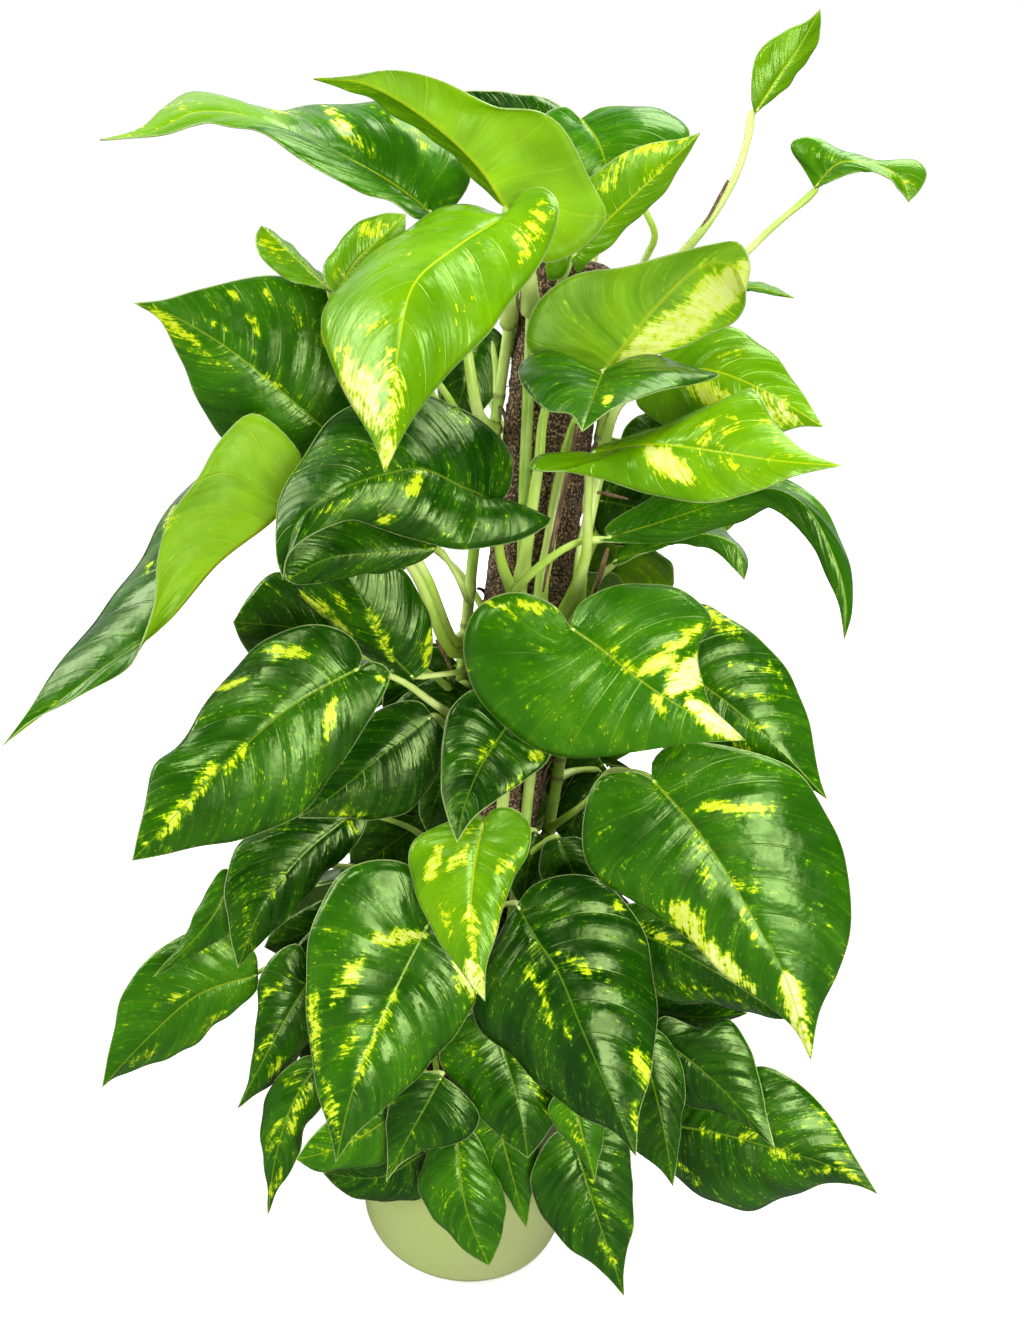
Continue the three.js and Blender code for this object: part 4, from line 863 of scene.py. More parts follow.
def marking_group():
    """Shared pattern of a blade: its green, streaked flecks along the side veins, rib and margin."""
    group = bpy.data.node_groups.new("blade_markings", "ShaderNodeTree")
    for name in BLADE_COLOURS:
        group.interface.new_socket(name, in_out="INPUT", socket_type="NodeSocketColor")
    for name in ("Fade", "Tone", "Vein"):
        group.interface.new_socket(name, in_out="INPUT", socket_type="NodeSocketFloat")
    for name, kind in (("Colour", "Color"), ("Relief", "Float"), ("Sheen", "Float")):
        group.interface.new_socket(name, in_out="OUTPUT", socket_type="NodeSocket" + kind)
    given = group.nodes.new("NodeGroupInput").outputs
    result = group.nodes.new("NodeGroupOutput").inputs
    spot = node(
        group, "SeparateXYZ",
        {0: node(group, "Attribute", attribute_name="blade_place").outputs["Vector"]}
    )
    from_rib, along, from_edge = spot.outputs
    dye = node(
        group, "SeparateXYZ",
        {0: node(group, "Attribute", attribute_name="blade_colour").outputs["Vector"]}
    )
    mark, cream = dye.outputs[1:]
    tone = given["Tone"]
    first_vein = node(group, "Attribute", attribute_name="blade_seed").outputs["Fac"]

    def plus(first, second):
        return combined(group, "ADD", first, second)

    def times(first, second):
        return combined(group, "MULTIPLY", first, second)

    place = node(group, "TexCoord").outputs["Object"]
    seed = times(first_vein, 37.0)

    def streaks(across_scale, along_scale, detail, shift):
        spread = node(group, "CombineXYZ", {
            0: times(from_rib, across_scale),
            1: times(along, along_scale),
            2: plus(seed, shift),
        })
        return noise(group, spread.outputs[0], 1.0, detail, 0.62)

    long_streak = streaks(0.030, 30, 4, 0.0)
    fine_streak = streaks(0.085, 105, 3, 4.0)
    speckle = streaks(0.30, 150, 2, 7.0)
    broad = streaks(0.02, 4, 2, 9.0)
    marble = noise(group, place, 210, 5, 0.66)
    veil = plus(times(long_streak, 0.30), times(fine_streak, 0.30))
    veil = plus(veil, times(marble, 0.40))
    veil = between(group, veil, 0.36, 0.66, 0.0, 1.35, smooth=False)
    ready = plus(veil, times(mark, given["Fade"]))
    ready = plus(ready, between(group, broad, 0.3, 0.75, -0.06, 0.07))
    fleck = between(group, ready, 1.20, 1.34)
    half_fleck = between(group, ready, 0.88, 1.26, 0.0, 0.70)
    spots = plus(speckle, between(group, broad, 0.35, 0.7, -0.05, 0.05))
    spots = plus(spots, times(mark, 0.12))
    fleck = combined(group, "MAXIMUM", fleck, between(group, spots, 0.715, 0.745, 0.0, 0.8))
    local = plus(tone, between(group, broad, 0.3, 0.7, -0.11, 0.09))
    local = plus(local, between(group, long_streak, 0.35, 0.65, -0.04, 0.05))
    green = blended(
        group, between(group, local, 0.0, 0.45, smooth=False), given["Base"], given["Fresh"]
    )
    green = blended(group, between(group, local, 0.45, 1.0, smooth=False), green, given["Lime"])
    paler = node(group, "HueSaturation", {"Color": green}, i1=1.0, i2=1.35)
    paler.inputs["Hue"].default_value = 0.49
    green = blended(group, between(group, broad, 0.25, 0.8, 0.0, 0.6), green, paler.outputs[0])
    vein_phase = combined(group, "FRACT", plus(times(along, float(SIDE_VEINS)), first_vein), 0.0)
    vein_line = between(
        group, combined(group, "ABSOLUTE", combined(group, "SUBTRACT", vein_phase, 0.5), 0.0), 0.46,
        0.495
    )
    vein_pale = times(vein_line, times(given["Vein"], between(group, broad, 0.2, 0.7)))
    rib_tint = blended(group, tone, given["Rib"], given["Fleck"])
    green = blended(group, vein_pale, green, rib_tint)
    colour = blended(group, half_fleck, green, given["Lime"])
    creamy = times(cream, between(group, ready, 1.3, 1.75))
    fleck_and_highlight_tint = blended(group, creamy, given["Fleck"], given["Cream"])
    # Flecks in yellow and cream. Where a stroke stands for a highlight, this cream is a painted highlight.
    colour = blended(group, fleck, colour, fleck_and_highlight_tint)
    rib_width = plus(times(given["Vein"], 2.4), 0.5)
    rib_distance = combined(group, "DIVIDE", combined(group, "ABSOLUTE", from_rib, 0.0), rib_width)
    rib_share = between(group, plus(rib_distance, times(along, 0.7)), 0.45, 1.35, 0.75, 0.0)
    colour = blended(group, rib_share, colour, rib_tint)
    colour = blended(group, between(group, from_edge, 0.3, 0.9, 0.85, 0.0), colour, given["Margin"])
    group.links.new(colour, result["Colour"])
    cells = noise(group, place, 1600, 2)
    relief = plus(times(streaks(0.022, 12, 3, 2.0), 2.6), times(cells, 0.12))
    pebbles = noise(group, place, 170, 1)
    relief = plus(relief, times(pebbles, 0.8))
    small_phase = plus(times(along, SIDE_VEINS * 3.0), times(broad, 2.0))
    small_vein = combined(
        group, "ABSOLUTE", combined(group, "SUBTRACT", combined(group, "FRACT", small_phase, 0.0), 0.5),
        0.0
    )
    small_vein = times(small_vein, between(group, long_streak, 0.35, 0.65, 0.0, -0.55))
    relief = plus(relief, small_vein)
    relief = plus(relief, times(vein_line, -0.45))
    relief = plus(relief, times(long_streak, 0.35))
    group.links.new(relief, result["Relief"])
    dust = noise(group, place, 70, 4, 0.6)
    group.links.new(between(group, dust, 0.3, 0.7), result["Sheen"])
    return group


markings = marking_group()


def blade_material(name, colours, tone, fade, vein, rough_low, rough_high, bump, translucent):
    material, tree, shader = new_material(name)
    pattern = tree.nodes.new("ShaderNodeGroup")
    pattern.node_tree = markings
    for socket, colour in zip(BLADE_COLOURS, colours):
        pattern.inputs[socket].default_value = colour
    pattern.inputs["Fade"].default_value = fade
    pattern.inputs["Vein"].default_value = vein
    dyes = node(
        tree, "SeparateXYZ", {0: node(tree, "Attribute", attribute_name=tone).outputs["Vector"]}
    )
    tree.links.new(dyes.outputs[0], pattern.inputs["Tone"])
    tree.links.new(pattern.outputs["Colour"], shader.inputs["Base Color"])
    tree.links.new(
        between(tree, pattern.outputs["Sheen"], 0, 1, rough_low, rough_high), shader.inputs["Roughness"]
    )
    raised(tree, pattern.outputs["Relief"], shader, bump, 0.0012)
    shader.inputs["Specular IOR Level"].default_value = 0.72
    shader.inputs["Specular Tint"].default_value = SHEEN_TINT
    glow = node(tree, "BsdfTranslucent", {"Color": pattern.outputs["Colour"]})
    both = node(tree, "MixShader", {1: shader.outputs[0], 2: glow.outputs[0]}, i0=translucent)
    tree.links.new(both.outputs[0], tree.nodes["Material Output"].inputs["Surface"])
    return material


leaf_top = blade_material(
    "leaf_top", (
        DEEP_GREEN, FRESH_GREEN, LIME_GREEN, FLECK_YELLOW, FLECK_AND_HIGHLIGHT_CREAM, RIB_GREEN, MARGIN_PALE
    ),
    "blade_colour", 1.0, 0.22, 0.18, 0.34, 0.27, 0.13,
)
leaf_under = blade_material(
    "leaf_under", (
        UNDER_DARK, UNDER_FRESH, UNDER_LIME, FLECK_YELLOW, FLECK_AND_HIGHLIGHT_CREAM, RIB_GREEN, MARGIN_PALE
    ),
    "blade_under", 0.9, 0.45, 0.40, 0.55, 0.30, 0.30,
)


# Leaf stalks: long, round and grooved on top, thick where they clasp the stem, thinner along their
# length, with a short swollen knee just below the blade.
STALK_FOOT_RADIUS = 0.0028
STALK_TIP_RADIUS = 0.0016
KNEE_LENGTH = 0.011
RIB_HOLD = 0.003
STALK_SIDES = 10
STALK_GREEN = (0.40, 0.66, 0.026, 1)
STALK_PALE = (0.84, 0.94, 0.34, 1)

stalk_skin, tree, shader = new_material("stalk_skin")
place = node(tree, "TexCoord").outputs["Object"]
long_way = node(tree, "Mapping", {"Vector": place})
long_way.inputs["Scale"].default_value = (1, 1, 0.06)
lines = noise(tree, long_way.outputs[0], 420, 3, 0.6)
patches = noise(tree, place, 22, 3)
colour = blended(tree, between(tree, patches, 0.35, 0.7, 0.1, 0.9), STALK_GREEN, STALK_PALE)
colour = blended(tree, between(tree, lines, 0.45, 0.75, 0.0, 0.25), colour, STALK_PALE)
tree.links.new(colour, shader.inputs["Base Color"])
shader.inputs["Roughness"].default_value = 0.36
raised(tree, lines, shader, 0.25, 0.0006)
shader.inputs["Coat Weight"].default_value = 0.15


def leaf_stalk(name, leaf, base, rib, facing):
    start = stem_at(leaf["stem"], leaf["joint"])
    below = base - facing * 0.003
    hold = rib.at(RIB_HOLD / rib.length)
    if "via" in leaf:
        route = [start, *(np.array(seen(point)) for point in leaf["via"]), below, hold]
    else:
        bend = start + (base - start) * 0.42
        bend[2] += 0.1 * np.linalg.norm(base - start)
        route = [start, bend, below, hold]
    line = SmoothLine(route)
    steps = max(int(line.length / 0.005), 12)
    share = np.linspace(0, 1, steps + 1)
    centres = line.at(share)
    left = (1 - share) * line.length
    thick = leaf.get("girth", 1.0)
    tip_radius = STALK_TIP_RADIUS * (0.55 + 0.45 * thick)
    radii = tip_radius + (STALK_FOOT_RADIUS * thick - tip_radius) * (1 - share) ** 1.3
    radii = radii + 0.0012 * np.exp(-(share * line.length / 0.010) ** 2)
    radii = radii + 0.00055 * np.exp(-((left - KNEE_LENGTH) / 0.006) ** 2)
    radii[-1] = 0.0009
    stalk = round_stalk(name, centres, radii, STALK_SIDES, 0.22)
    stalk.data.materials.append(stalk_skin)
    return stalk


# Dry sheaths: thin brown strips that once wrapped each young leaf stalk and now cling to its side.
DRY_BROWN = (0.085, 0.036, 0.016, 1)
DRY_TAN = (0.30, 0.19, 0.085, 1)
dry_sheaths = [
    ([(577, 424, 50), (571, 458, 50), (562, 500, 50), (552, 545, 48), (543, 592, 46)], 1.5),
    ([(608, 548, 42), (601, 572, 42), (592, 600, 40)], 1.5),
    ([(728, 180, 30), (721, 194, 29), (708, 218, 27), (694, 238, 24)], 0.8),
    ([(592, 492, 38), (604, 493, 42), (616, 496, 46), (628, 499, 48)], 1.0),
    ([(436, 640, 40), (447, 660, 36), (455, 684, 32)], 1.1),
]

dry_skin, tree, shader = new_material("dry_sheath")
place = node(tree, "TexCoord").outputs["Object"]
fibres = node(tree, "Mapping", {"Vector": place})
fibres.inputs["Scale"].default_value = (1, 1, 0.08)
lines = noise(tree, fibres.outputs[0], 900, 3, 0.6)
tree.links.new(
    blended(tree, between(tree, lines, 0.35, 0.7), DRY_BROWN, DRY_TAN), shader.inputs["Base Color"]
)
shader.inputs["Roughness"].default_value = 0.7
raised(tree, lines, shader, 0.5, 0.0006)
for index, (way, thick) in enumerate(dry_sheaths):
    centres = SmoothLine([seen(point) for point in way], 8).line
    share = np.linspace(0, 1, len(centres))
    radii = 0.001 * thick * np.sin(math.pi * np.clip(share * 0.9 + 0.07, 0, 1)) ** 0.5 + 0.0002
    sheath = round_stalk(f"dry_sheath_{index + 1}", centres, radii, 8, 0.3)
    sheath.data.materials.append(dry_skin)
    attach(sheath, "root")


# The leaves that the front shows. rib runs from the notch to the tip, and edge_a and edge_b from the
# notch round each lobe to the tip, as pixels; a third number is millimetres in front of the pot's
# middle. behind says how many millimetres each edge lies behind the rib.
seen_leaves = [
    dict(
        name="crown_front", tone="lime", stem="stem_left", joint=664,
        via=[(507, 264, 50)],
        rib=[(510, 213, 84), (455, 247, 112), (413, 285, 134), (398, 350, 146), (385, 472, 156)],
        edge_a=[
            (497, 214), (470, 206), (420, 218), (366, 258), (332, 303), (326, 352), (350, 404),
            (376, 446)
        ],
        edge_b=[
            (518, 198), (540, 188), (558, 205), (547, 253), (505, 309), (471, 351), (430, 397),
            (399, 442)
        ],
        behind=(30, 8),
    ),
    dict(
        name="crown_raised", tone="lime", under=True, stem="stem_front", joint=672,
        via=[(526, 258, 44)],
        rib=[(508, 211, 70), (478, 166, 68), (425, 118, 70), (365, 84, 74), (314, 79, 76)],
        edge_a=[
            (540, 262), (580, 250), (607, 218), (590, 180), (557, 123), (500, 107), (440, 80),
            (392, 70), (352, 78)
        ],
        edge_b=[(490, 195), (458, 160), (417, 131), (376, 100), (345, 90)],
        behind=(-2, 20),
    ),
    dict(
        name="upper_left", tone="dark", stem="stem_left", joint=600,
        via=[(478, 412, 30), (466, 345, 42), (448, 270, 46)],
        rib=[
            (434, 214, 48), (385, 178, 62), (320, 145, 76), (250, 116, 86), (195, 112, 92),
            (150, 133, 98), (100, 140, 102)
        ],
        edge_a=[
            (453, 208), (471, 173), (440, 122), (398, 106), (319, 107), (255, 106), (193, 94),
            (165, 108), (142, 129)
        ],
        edge_b=[
            (417, 219), (386, 197), (340, 184), (294, 156), (248, 125), (215, 120), (185, 131),
            (148, 138)
        ],
        behind=(34, -24),
    ),
    dict(
        name="crown_dark", tone="dark", stem="stem_right", joint=634,
        via=[(644, 262, -10), (655, 236, -2), (646, 212, 4), (618, 152, 8)],
        rib=[(581, 119, 8), (597, 140, 18), (606, 165, 26), (612, 200, 34)],
        edge_a=[(566, 107), (545, 114), (540, 140), (560, 170), (588, 192)],
        edge_b=[(600, 108), (640, 107), (680, 120), (690, 136), (668, 165), (636, 190)],
        behind=(10, 10),
    ),
    dict(
        name="crown_right", tone="lime", stem="stem_front", joint=630,
        rib=[(572, 257, 40), (609, 219, 46), (655, 176, 54), (700, 133, 60)],
        edge_a=[
            (563, 277), (549, 280), (546, 255), (562, 210), (589, 177), (619, 158), (648, 144),
            (680, 139)
        ],
        edge_b=[(577, 273), (590, 261), (608, 246), (630, 226), (653, 205), (674, 176), (690, 151)],
        behind=(8, 6),
    ),
    dict(
        name="small_left", small=True, tone="lime", stem="stem_left", joint=560,
        rib=[(331, 291, 66), (300, 262, 60), (278, 242, 57), (261, 226, 55)],
        edge_a=[(316, 287), (290, 281), (270, 267), (257, 251), (256, 235)],
        edge_b=[(327, 281), (305, 259), (285, 241), (271, 230)],
        behind=(-4, 10),
    ),
    dict(
        name="small_upright", small=True, tone="lime", stem="stem_left", joint=575,
        rib=[(336, 294, 76), (356, 262, 74), (385, 234, 72), (406, 214, 70)],
        edge_a=[(326, 283), (324, 266), (343, 238), (360, 222), (386, 213)],
        edge_b=[(350, 294), (374, 280), (392, 260), (404, 238)],
        behind=(2, 4),
    ),
    dict(
        name="left_flecked", tone="dark", stem="stem_left", joint=462,
        via=[(452, 640, 16), (424, 572, 32), (384, 506, 42)],
        rib=[(338, 441, 50), (300, 408, 56), (230, 350, 64), (175, 317, 68), (134, 303, 70)],
        edge_a=[
            (362, 432), (378, 395), (368, 340), (332, 290), (280, 277), (240, 278), (201, 289),
            (163, 300)
        ],
        edge_b=[(325, 458), (290, 458), (240, 450), (214, 425), (196, 395), (180, 362), (160, 320)],
        behind=(12, 4),
    ),
    dict(
        name="left_hanging", tone="lime", stem="stem_left", joint=452,
        via=[(448, 648, 26), (410, 566, 52), (356, 516, 70)],
        rib=[
            (300, 479, 84), (275, 516, 92), (218, 562, 100), (162, 626, 110), (100, 670, 120),
            (3, 745, 132)
        ],
        edge_a=[
          (301, 455, 80), (254, 413, 84), (222, 437, 92), (197, 477, 98), (172, 515, 104),
          (158, 560, 110),
          (152, 612, 116), (128, 662, 124), (76, 699, 126), (30, 722, 130),
        ],
        edge_b=[
          (276, 470, 58), (236, 450, 42), (194, 478, 44), (164, 525, 54), (132, 572, 66),
          (107, 602, 78), (80, 634, 94), (53, 675, 112), (29, 710, 126),
        ],
        behind=(0, 0),
    ),
    dict(
        name="left_broad", tone="dark", stem="stem_front", joint=500,
        via=[(512, 590, 42), (500, 556, 58)],
        rib=[
            (500, 503, 84), (465, 488, 98), (422, 469, 112), (385, 474, 122), (335, 492, 128),
            (298, 522, 128), (283, 580, 118)
        ],
        edge_a=[
            (510, 486), (511, 452), (478, 418), (430, 397), (382, 394), (335, 414), (300, 460),
            (280, 506), (276, 555)
        ],
        edge_b=[
            (524, 507), (552, 519), (521, 540), (467, 548), (416, 541), (376, 528), (350, 521),
            (313, 534), (288, 556)
        ],
        behind=(24, -4),
    ),
    dict(
        name="left_under", small=True, tone="dark", stem="stem_left", joint=496,
        via=[(468, 600, 44), (456, 574, 62)],
        rib=[(437, 548, 86), (385, 553, 92), (330, 558, 96), (286, 580, 98)],
        edge_a=[(432, 536), (400, 524), (350, 512), (305, 530), (284, 556)],
        edge_b=[(424, 560), (376, 573), (323, 581), (298, 585)],
        behind=(12, 2),
    ),
    dict(
        name="left_middle", tone="dark", stem="stem_left", joint=440,
        via=[(452, 673, 40)],
        rib=[(414, 679, 62), (388, 650, 68), (362, 600, 74), (330, 548, 80)],
        edge_a=[(428, 668), (432, 645), (428, 612), (408, 575), (370, 545), (345, 540)],
        edge_b=[(402, 671), (358, 650), (322, 618), (294, 584), (296, 558), (312, 546)],
        behind=(8, 4),
    ),
    dict(
        name="left_pointed", small=True, tone="dark", stem="stem_left", joint=420,
        rib=[(352, 656, 46), (335, 640, 46), (288, 627, 48), (233, 622, 50)],
        edge_a=[(345, 630), (315, 590), (276, 572), (250, 594)],
        edge_b=[(340, 668), (295, 668), (262, 662), (243, 646)],
        behind=(6, 4),
    ),
    dict(
        name="left_front", tone="dark", stem="stem_left", joint=404,
        via=[(432, 702, 62), (396, 678, 86)],
        rib=[(359, 668, 100), (293, 705, 118), (240, 750, 130), (190, 800, 140), (132, 861, 148)],
        edge_a=[
            (362, 654), (346, 633), (308, 625), (264, 640), (229, 672), (205, 710), (176, 748),
            (153, 766), (141, 821)
        ],
        edge_b=[
            (370, 661), (390, 671), (378, 704), (350, 752), (318, 795), (279, 824), (235, 841),
            (176, 852)
        ],
        behind=(14, 8),
    ),
    dict(
        name="left_shaded", small=True, tone="dark", stem="stem_left", joint=378,
        rib=[(432, 716, 56), (385, 752, 66), (340, 790, 74), (299, 818, 80)],
        edge_a=[(420, 702), (390, 704), (355, 728), (325, 765), (303, 800)],
        edge_b=[(446, 734), (439, 772), (414, 805), (378, 820), (340, 818)],
        behind=(8, 4),
    ),
    dict(
        name="right_raised", tone="lime", under=True, stem="stem_front_right", joint=458,
        via=[(541, 592, 31), (549, 545, 33), (561, 470, 36), (577, 418, 44)],
        rib=[(603, 373, 62), (655, 308, 64), (703, 266, 68), (732, 266, 76), (746, 291, 84)],
        edge_a=[
          (590, 370, 58), (552, 361, 56), (527, 347, 58), (534, 308, 60), (568, 278, 60),
          (622, 267, 60),
          (678, 252, 64), (712, 244, 70), (738, 242, 76), (750, 264, 82),
        ],
        edge_b=[
            (617, 367, 62), (645, 358, 64), (680, 347, 66), (712, 334, 68), (736, 321, 72),
            (744, 306, 78)
        ],
        behind=(0, 0),
    ),
    dict(
        name="right_speckled", tone="dark", stem="stem_front", joint=514,
        via=[(538, 470, 37), (549, 402, 42)],
        rib=[(603, 372, 74), (599, 382, 96), (591, 404, 122), (582, 432, 142)],
        edge_a=[
            (590, 367, 66), (552, 350, 62), (524, 362, 68), (521, 382, 88), (546, 410, 112),
            (572, 416, 130)
        ],
        edge_b=[
            (614, 365, 66), (650, 353, 64), (684, 366, 72), (718, 377, 92), (668, 389, 112),
            (614, 409, 130)
        ],
        behind=(0, 0),
    ),
    dict(
        name="right_pale", tone="lime", stem="stem_front_right", joint=466,
        via=[(573, 622, 33), (583, 548, 35), (600, 472, 38), (617, 408, 40)],
        rib=[(645, 383, 42), (700, 369, 48), (755, 386, 54), (823, 427, 58)],
        edge_a=[(652, 362), (672, 347), (694, 337), (724, 326), (764, 345), (793, 381), (813, 410)],
        edge_b=[(636, 402), (655, 420), (690, 432), (730, 440), (768, 436), (800, 427)],
        behind=(8, 4),
    ),
    dict(
        name="right_front", tone="lime", stem="stem_front_right", joint=476,
        via=[(585, 560, 62), (588, 500, 80)],
        rib=[(590, 452, 92), (650, 444, 102), (720, 452, 112), (780, 461, 120), (842, 466, 124)],
        edge_a=[(604, 444), (640, 437), (685, 423), (721, 401), (748, 388), (775, 424), (802, 449)],
        edge_b=[
            (566, 452), (536, 456), (529, 468), (560, 471), (600, 479), (654, 496), (708, 502),
            (755, 492), (796, 476)
        ],
        behind=(20, -4),
    ),
    dict(
        name="right_arched", tone="dark", stem="stem_front", joint=486,
        via=[(518, 588, 50), (575, 543, 54)],
        rib=[
            (606, 538, 56), (660, 522, 66), (720, 502, 76), (772, 488, 86), (806, 506, 92),
            (836, 562, 96), (846, 604, 98), (844, 640, 98)
        ],
        edge_a=[
            (606, 527), (640, 505), (690, 484), (740, 472), (786, 478), (824, 512), (849, 560),
            (853, 608)
        ],
        edge_b=[
            (600, 541), (640, 543), (690, 537), (740, 523), (782, 506), (802, 526), (825, 574),
            (839, 606)
        ],
        behind=(16, 2),
    ),
    dict(
        name="right_narrow", small=True, tone="dark", stem="stem_right", joint=452,
        via=[(590, 602, 18), (602, 575, 28)],
        rib=[(612, 562, 36), (655, 546, 42), (705, 534, 48), (737, 547, 52), (744, 580, 54)],
        edge_a=[(622, 548), (665, 532), (708, 522), (734, 538), (748, 560)],
        edge_b=[(616, 566), (650, 551), (690, 543), (717, 553), (732, 567)],
        behind=(26, -3),
    ),
    dict(
        name="middle_front", tone="dark", stem="stem_front", joint=446,
        rib=[(570, 627, 92), (600, 648, 100), (640, 680, 108), (684, 709, 115), (745, 740, 122)],
        edge_a=[
            (556, 607), (515, 592), (478, 607), (462, 645), (475, 690), (510, 730), (552, 753),
            (590, 760), (640, 751), (692, 743)
        ],
        edge_b=[
            (579, 605), (615, 586), (655, 583), (690, 596), (710, 619), (700, 642), (703, 680),
            (710, 705), (728, 724)
        ],
        behind=(8, 14),
    ),
    dict(
        name="right_flecked", tone="dark", stem="stem_right", joint=420,
        rib=[(652, 655, 66), (710, 690, 76), (770, 740, 86), (827, 799, 92)],
        edge_a=[(662, 630), (700, 603), (735, 622), (775, 655), (803, 698), (813, 745), (820, 780)],
        edge_b=[(636, 678), (640, 720), (667, 748), (720, 773), (770, 784), (808, 787)],
        behind=(10, 4),
    ),
    dict(
        name="middle_low", tone="dark", stem="stem_front", joint=376,
        rib=[(508, 724, 64), (480, 768, 82), (464, 808, 100), (457, 843, 114)],
        edge_a=[(500, 704), (473, 690), (450, 711), (442, 745), (441, 785), (447, 816)],
        edge_b=[(522, 728), (545, 738), (550, 755), (528, 778), (500, 798), (474, 818)],
        behind=(8, 6),
    ),
    dict(
        name="middle_lime", tone="lime", stem="stem_left", joint=312,
        rib=[(483, 822, 92), (474, 870, 104), (471, 920, 114), (478, 965, 122), (485, 1001, 126)],
        edge_a=[(472, 817), (440, 825), (414, 842), (411, 878), (424, 915), (448, 952), (472, 986)],
        edge_b=[(492, 810), (512, 808), (530, 824), (528, 850), (512, 885), (497, 930), (486, 970)],
        behind=(8, 8),
    ),
    dict(
        name="right_broad", tone="dark", stem="stem_right", joint=330,
        via=[(588, 800, 40), (612, 770, 68)],
        rib=[
            (652, 779, 96), (690, 822, 106), (724, 869, 114), (756, 924, 122), (786, 979, 128),
            (811, 1060, 134)
        ],
        edge_a=[
            (634, 772), (600, 777), (584, 815), (586, 855), (608, 889), (660, 919), (697, 947),
            (745, 990), (793, 1028)
        ],
        edge_b=[
            (652, 762), (672, 744), (735, 748), (800, 775), (832, 820), (849, 878), (848, 925),
            (838, 975), (820, 1012)
        ],
        behind=(10, 12),
    ),
    dict(
        name="low_left_upper", tone="dark", stem="stem_left", joint=300,
        rib=[(352, 814, 52), (300, 858, 68), (262, 908, 80), (238, 968, 88)],
        edge_a=[(330, 803), (300, 812), (262, 825), (238, 845), (226, 885), (228, 925)],
        edge_b=[(366, 818), (360, 838), (330, 871), (300, 902), (268, 938), (251, 953)],
        behind=(6, 4),
    ),
    dict(
        name="low_left_outer", tone="dark", stem="stem_left", joint=236,
        rib=[(258, 975, 50), (200, 994, 62), (150, 1036, 72), (102, 1087, 80)],
        edge_a=[(256, 954), (235, 931), (205, 927), (182, 935), (150, 957), (122, 996), (110, 1045)],
        edge_b=[(257, 988), (238, 1008), (198, 1040), (150, 1066), (115, 1077)],
        behind=(6, 6),
    ),
    dict(
        name="low_left_narrow", small=True, tone="dark", stem="stem_left", joint=270,
        rib=[(236, 874, 62), (214, 915, 70), (186, 948, 74), (153, 977, 76)],
        edge_a=[(224, 868), (205, 893), (190, 926), (172, 955)],
        edge_b=[(246, 892), (232, 928), (205, 948), (176, 965)],
        behind=(3, 3),
    ),
    dict(
        name="low_middle", tone="dark", stem="stem_left", joint=262,
        rib=[(428, 924, 84), (398, 985, 100), (370, 1045, 116), (350, 1100, 128), (336, 1162, 136)],
        edge_a=[
            (428, 896), (410, 866), (375, 860), (340, 874), (318, 915), (306, 965), (308, 1040),
            (320, 1095), (332, 1138)
        ],
        edge_b=[(446, 930), (474, 952), (481, 990), (455, 1030), (430, 1066), (395, 1100), (360, 1128)],
        behind=(10, 8),
    ),
    dict(
        name="low_front", tone="dark", stem="stem_front", joint=268,
        rib=[
            (517, 905, 78), (535, 937, 92), (557, 970, 104), (582, 1030, 122), (606, 1085, 134),
            (636, 1156, 142)
        ],
        edge_a=[
            (532, 886), (565, 874), (600, 880), (630, 910), (652, 960), (658, 1010), (652, 1062),
            (640, 1108)
        ],
        edge_b=[
            (506, 922), (486, 960), (474, 1010), (497, 1044), (540, 1086), (578, 1112), (614, 1132)
        ],
        behind=(16, 2),
    ),
    dict(
        name="low_left_inner", small=True, tone="dark", stem="stem_left", joint=222,
        rib=[(312, 975, 60), (290, 1012, 70), (268, 1052, 80), (238, 1108, 88)],
        edge_a=[(298, 944), (275, 954), (258, 985), (256, 1025), (250, 1075)],
        edge_b=[(325, 985), (321, 1020), (305, 1050), (275, 1080), (254, 1096)],
        behind=(4, 6),
    ),
    dict(
        name="low_left_tip", small=True, tone="dark", stem="stem_left", joint=196,
        rib=[(322, 1057, 78), (292, 1105, 90), (275, 1160, 100), (268, 1214, 106)],
        edge_a=[(305, 1056), (276, 1080), (261, 1112), (264, 1155), (267, 1190)],
        edge_b=[(336, 1074), (326, 1100), (308, 1125), (293, 1165), (278, 1190)],
        behind=(4, 4),
    ),
    dict(
        name="low_right_upper", tone="dark", stem="stem_right", joint=262,
        rib=[(612, 925, 56), (655, 940, 68), (720, 975, 80), (787, 1019, 88)],
        edge_a=[(622, 906), (660, 905), (710, 935), (760, 985)],
        edge_b=[(602, 948), (625, 985), (659, 1001), (700, 1001), (748, 1013), (770, 1018)],
        behind=(6, 8),
    ),
    dict(
        name="low_right_middle", tone="dark", stem="stem_right", joint=198,
        rib=[(650, 1030, 78), (705, 1073, 90), (745, 1113, 100), (775, 1148, 108)],
        edge_a=[(664, 1016), (700, 1028), (729, 1019), (748, 1045), (760, 1080), (768, 1120)],
        edge_b=[(640, 1050), (650, 1080), (685, 1101), (720, 1114), (752, 1129)],
        behind=(6, 6),
    ),
    dict(
        name="low_right_outer", tone="dark", stem="stem_right", joint=190,
        rib=[(668, 1125, 80), (720, 1134, 90), (775, 1149, 98), (830, 1166, 104), (878, 1194, 108)],
        edge_a=[
            (672, 1104), (692, 1092), (730, 1080), (762, 1066), (793, 1079), (828, 1112), (856, 1158)
        ],
        edge_b=[
            (655, 1137), (662, 1162), (690, 1190), (740, 1207), (785, 1200), (825, 1184), (856, 1184)
        ],
        behind=(14, 4),
    ),
    dict(
        name="low_right_hanging", small=True, tone="dark", stem="stem_front_right", joint=232,
        rib=[(637, 1030, 86), (652, 1080, 98), (664, 1130, 108), (673, 1186, 114)],
        edge_a=[(654, 1028), (670, 1041), (683, 1072), (684, 1105), (678, 1150)],
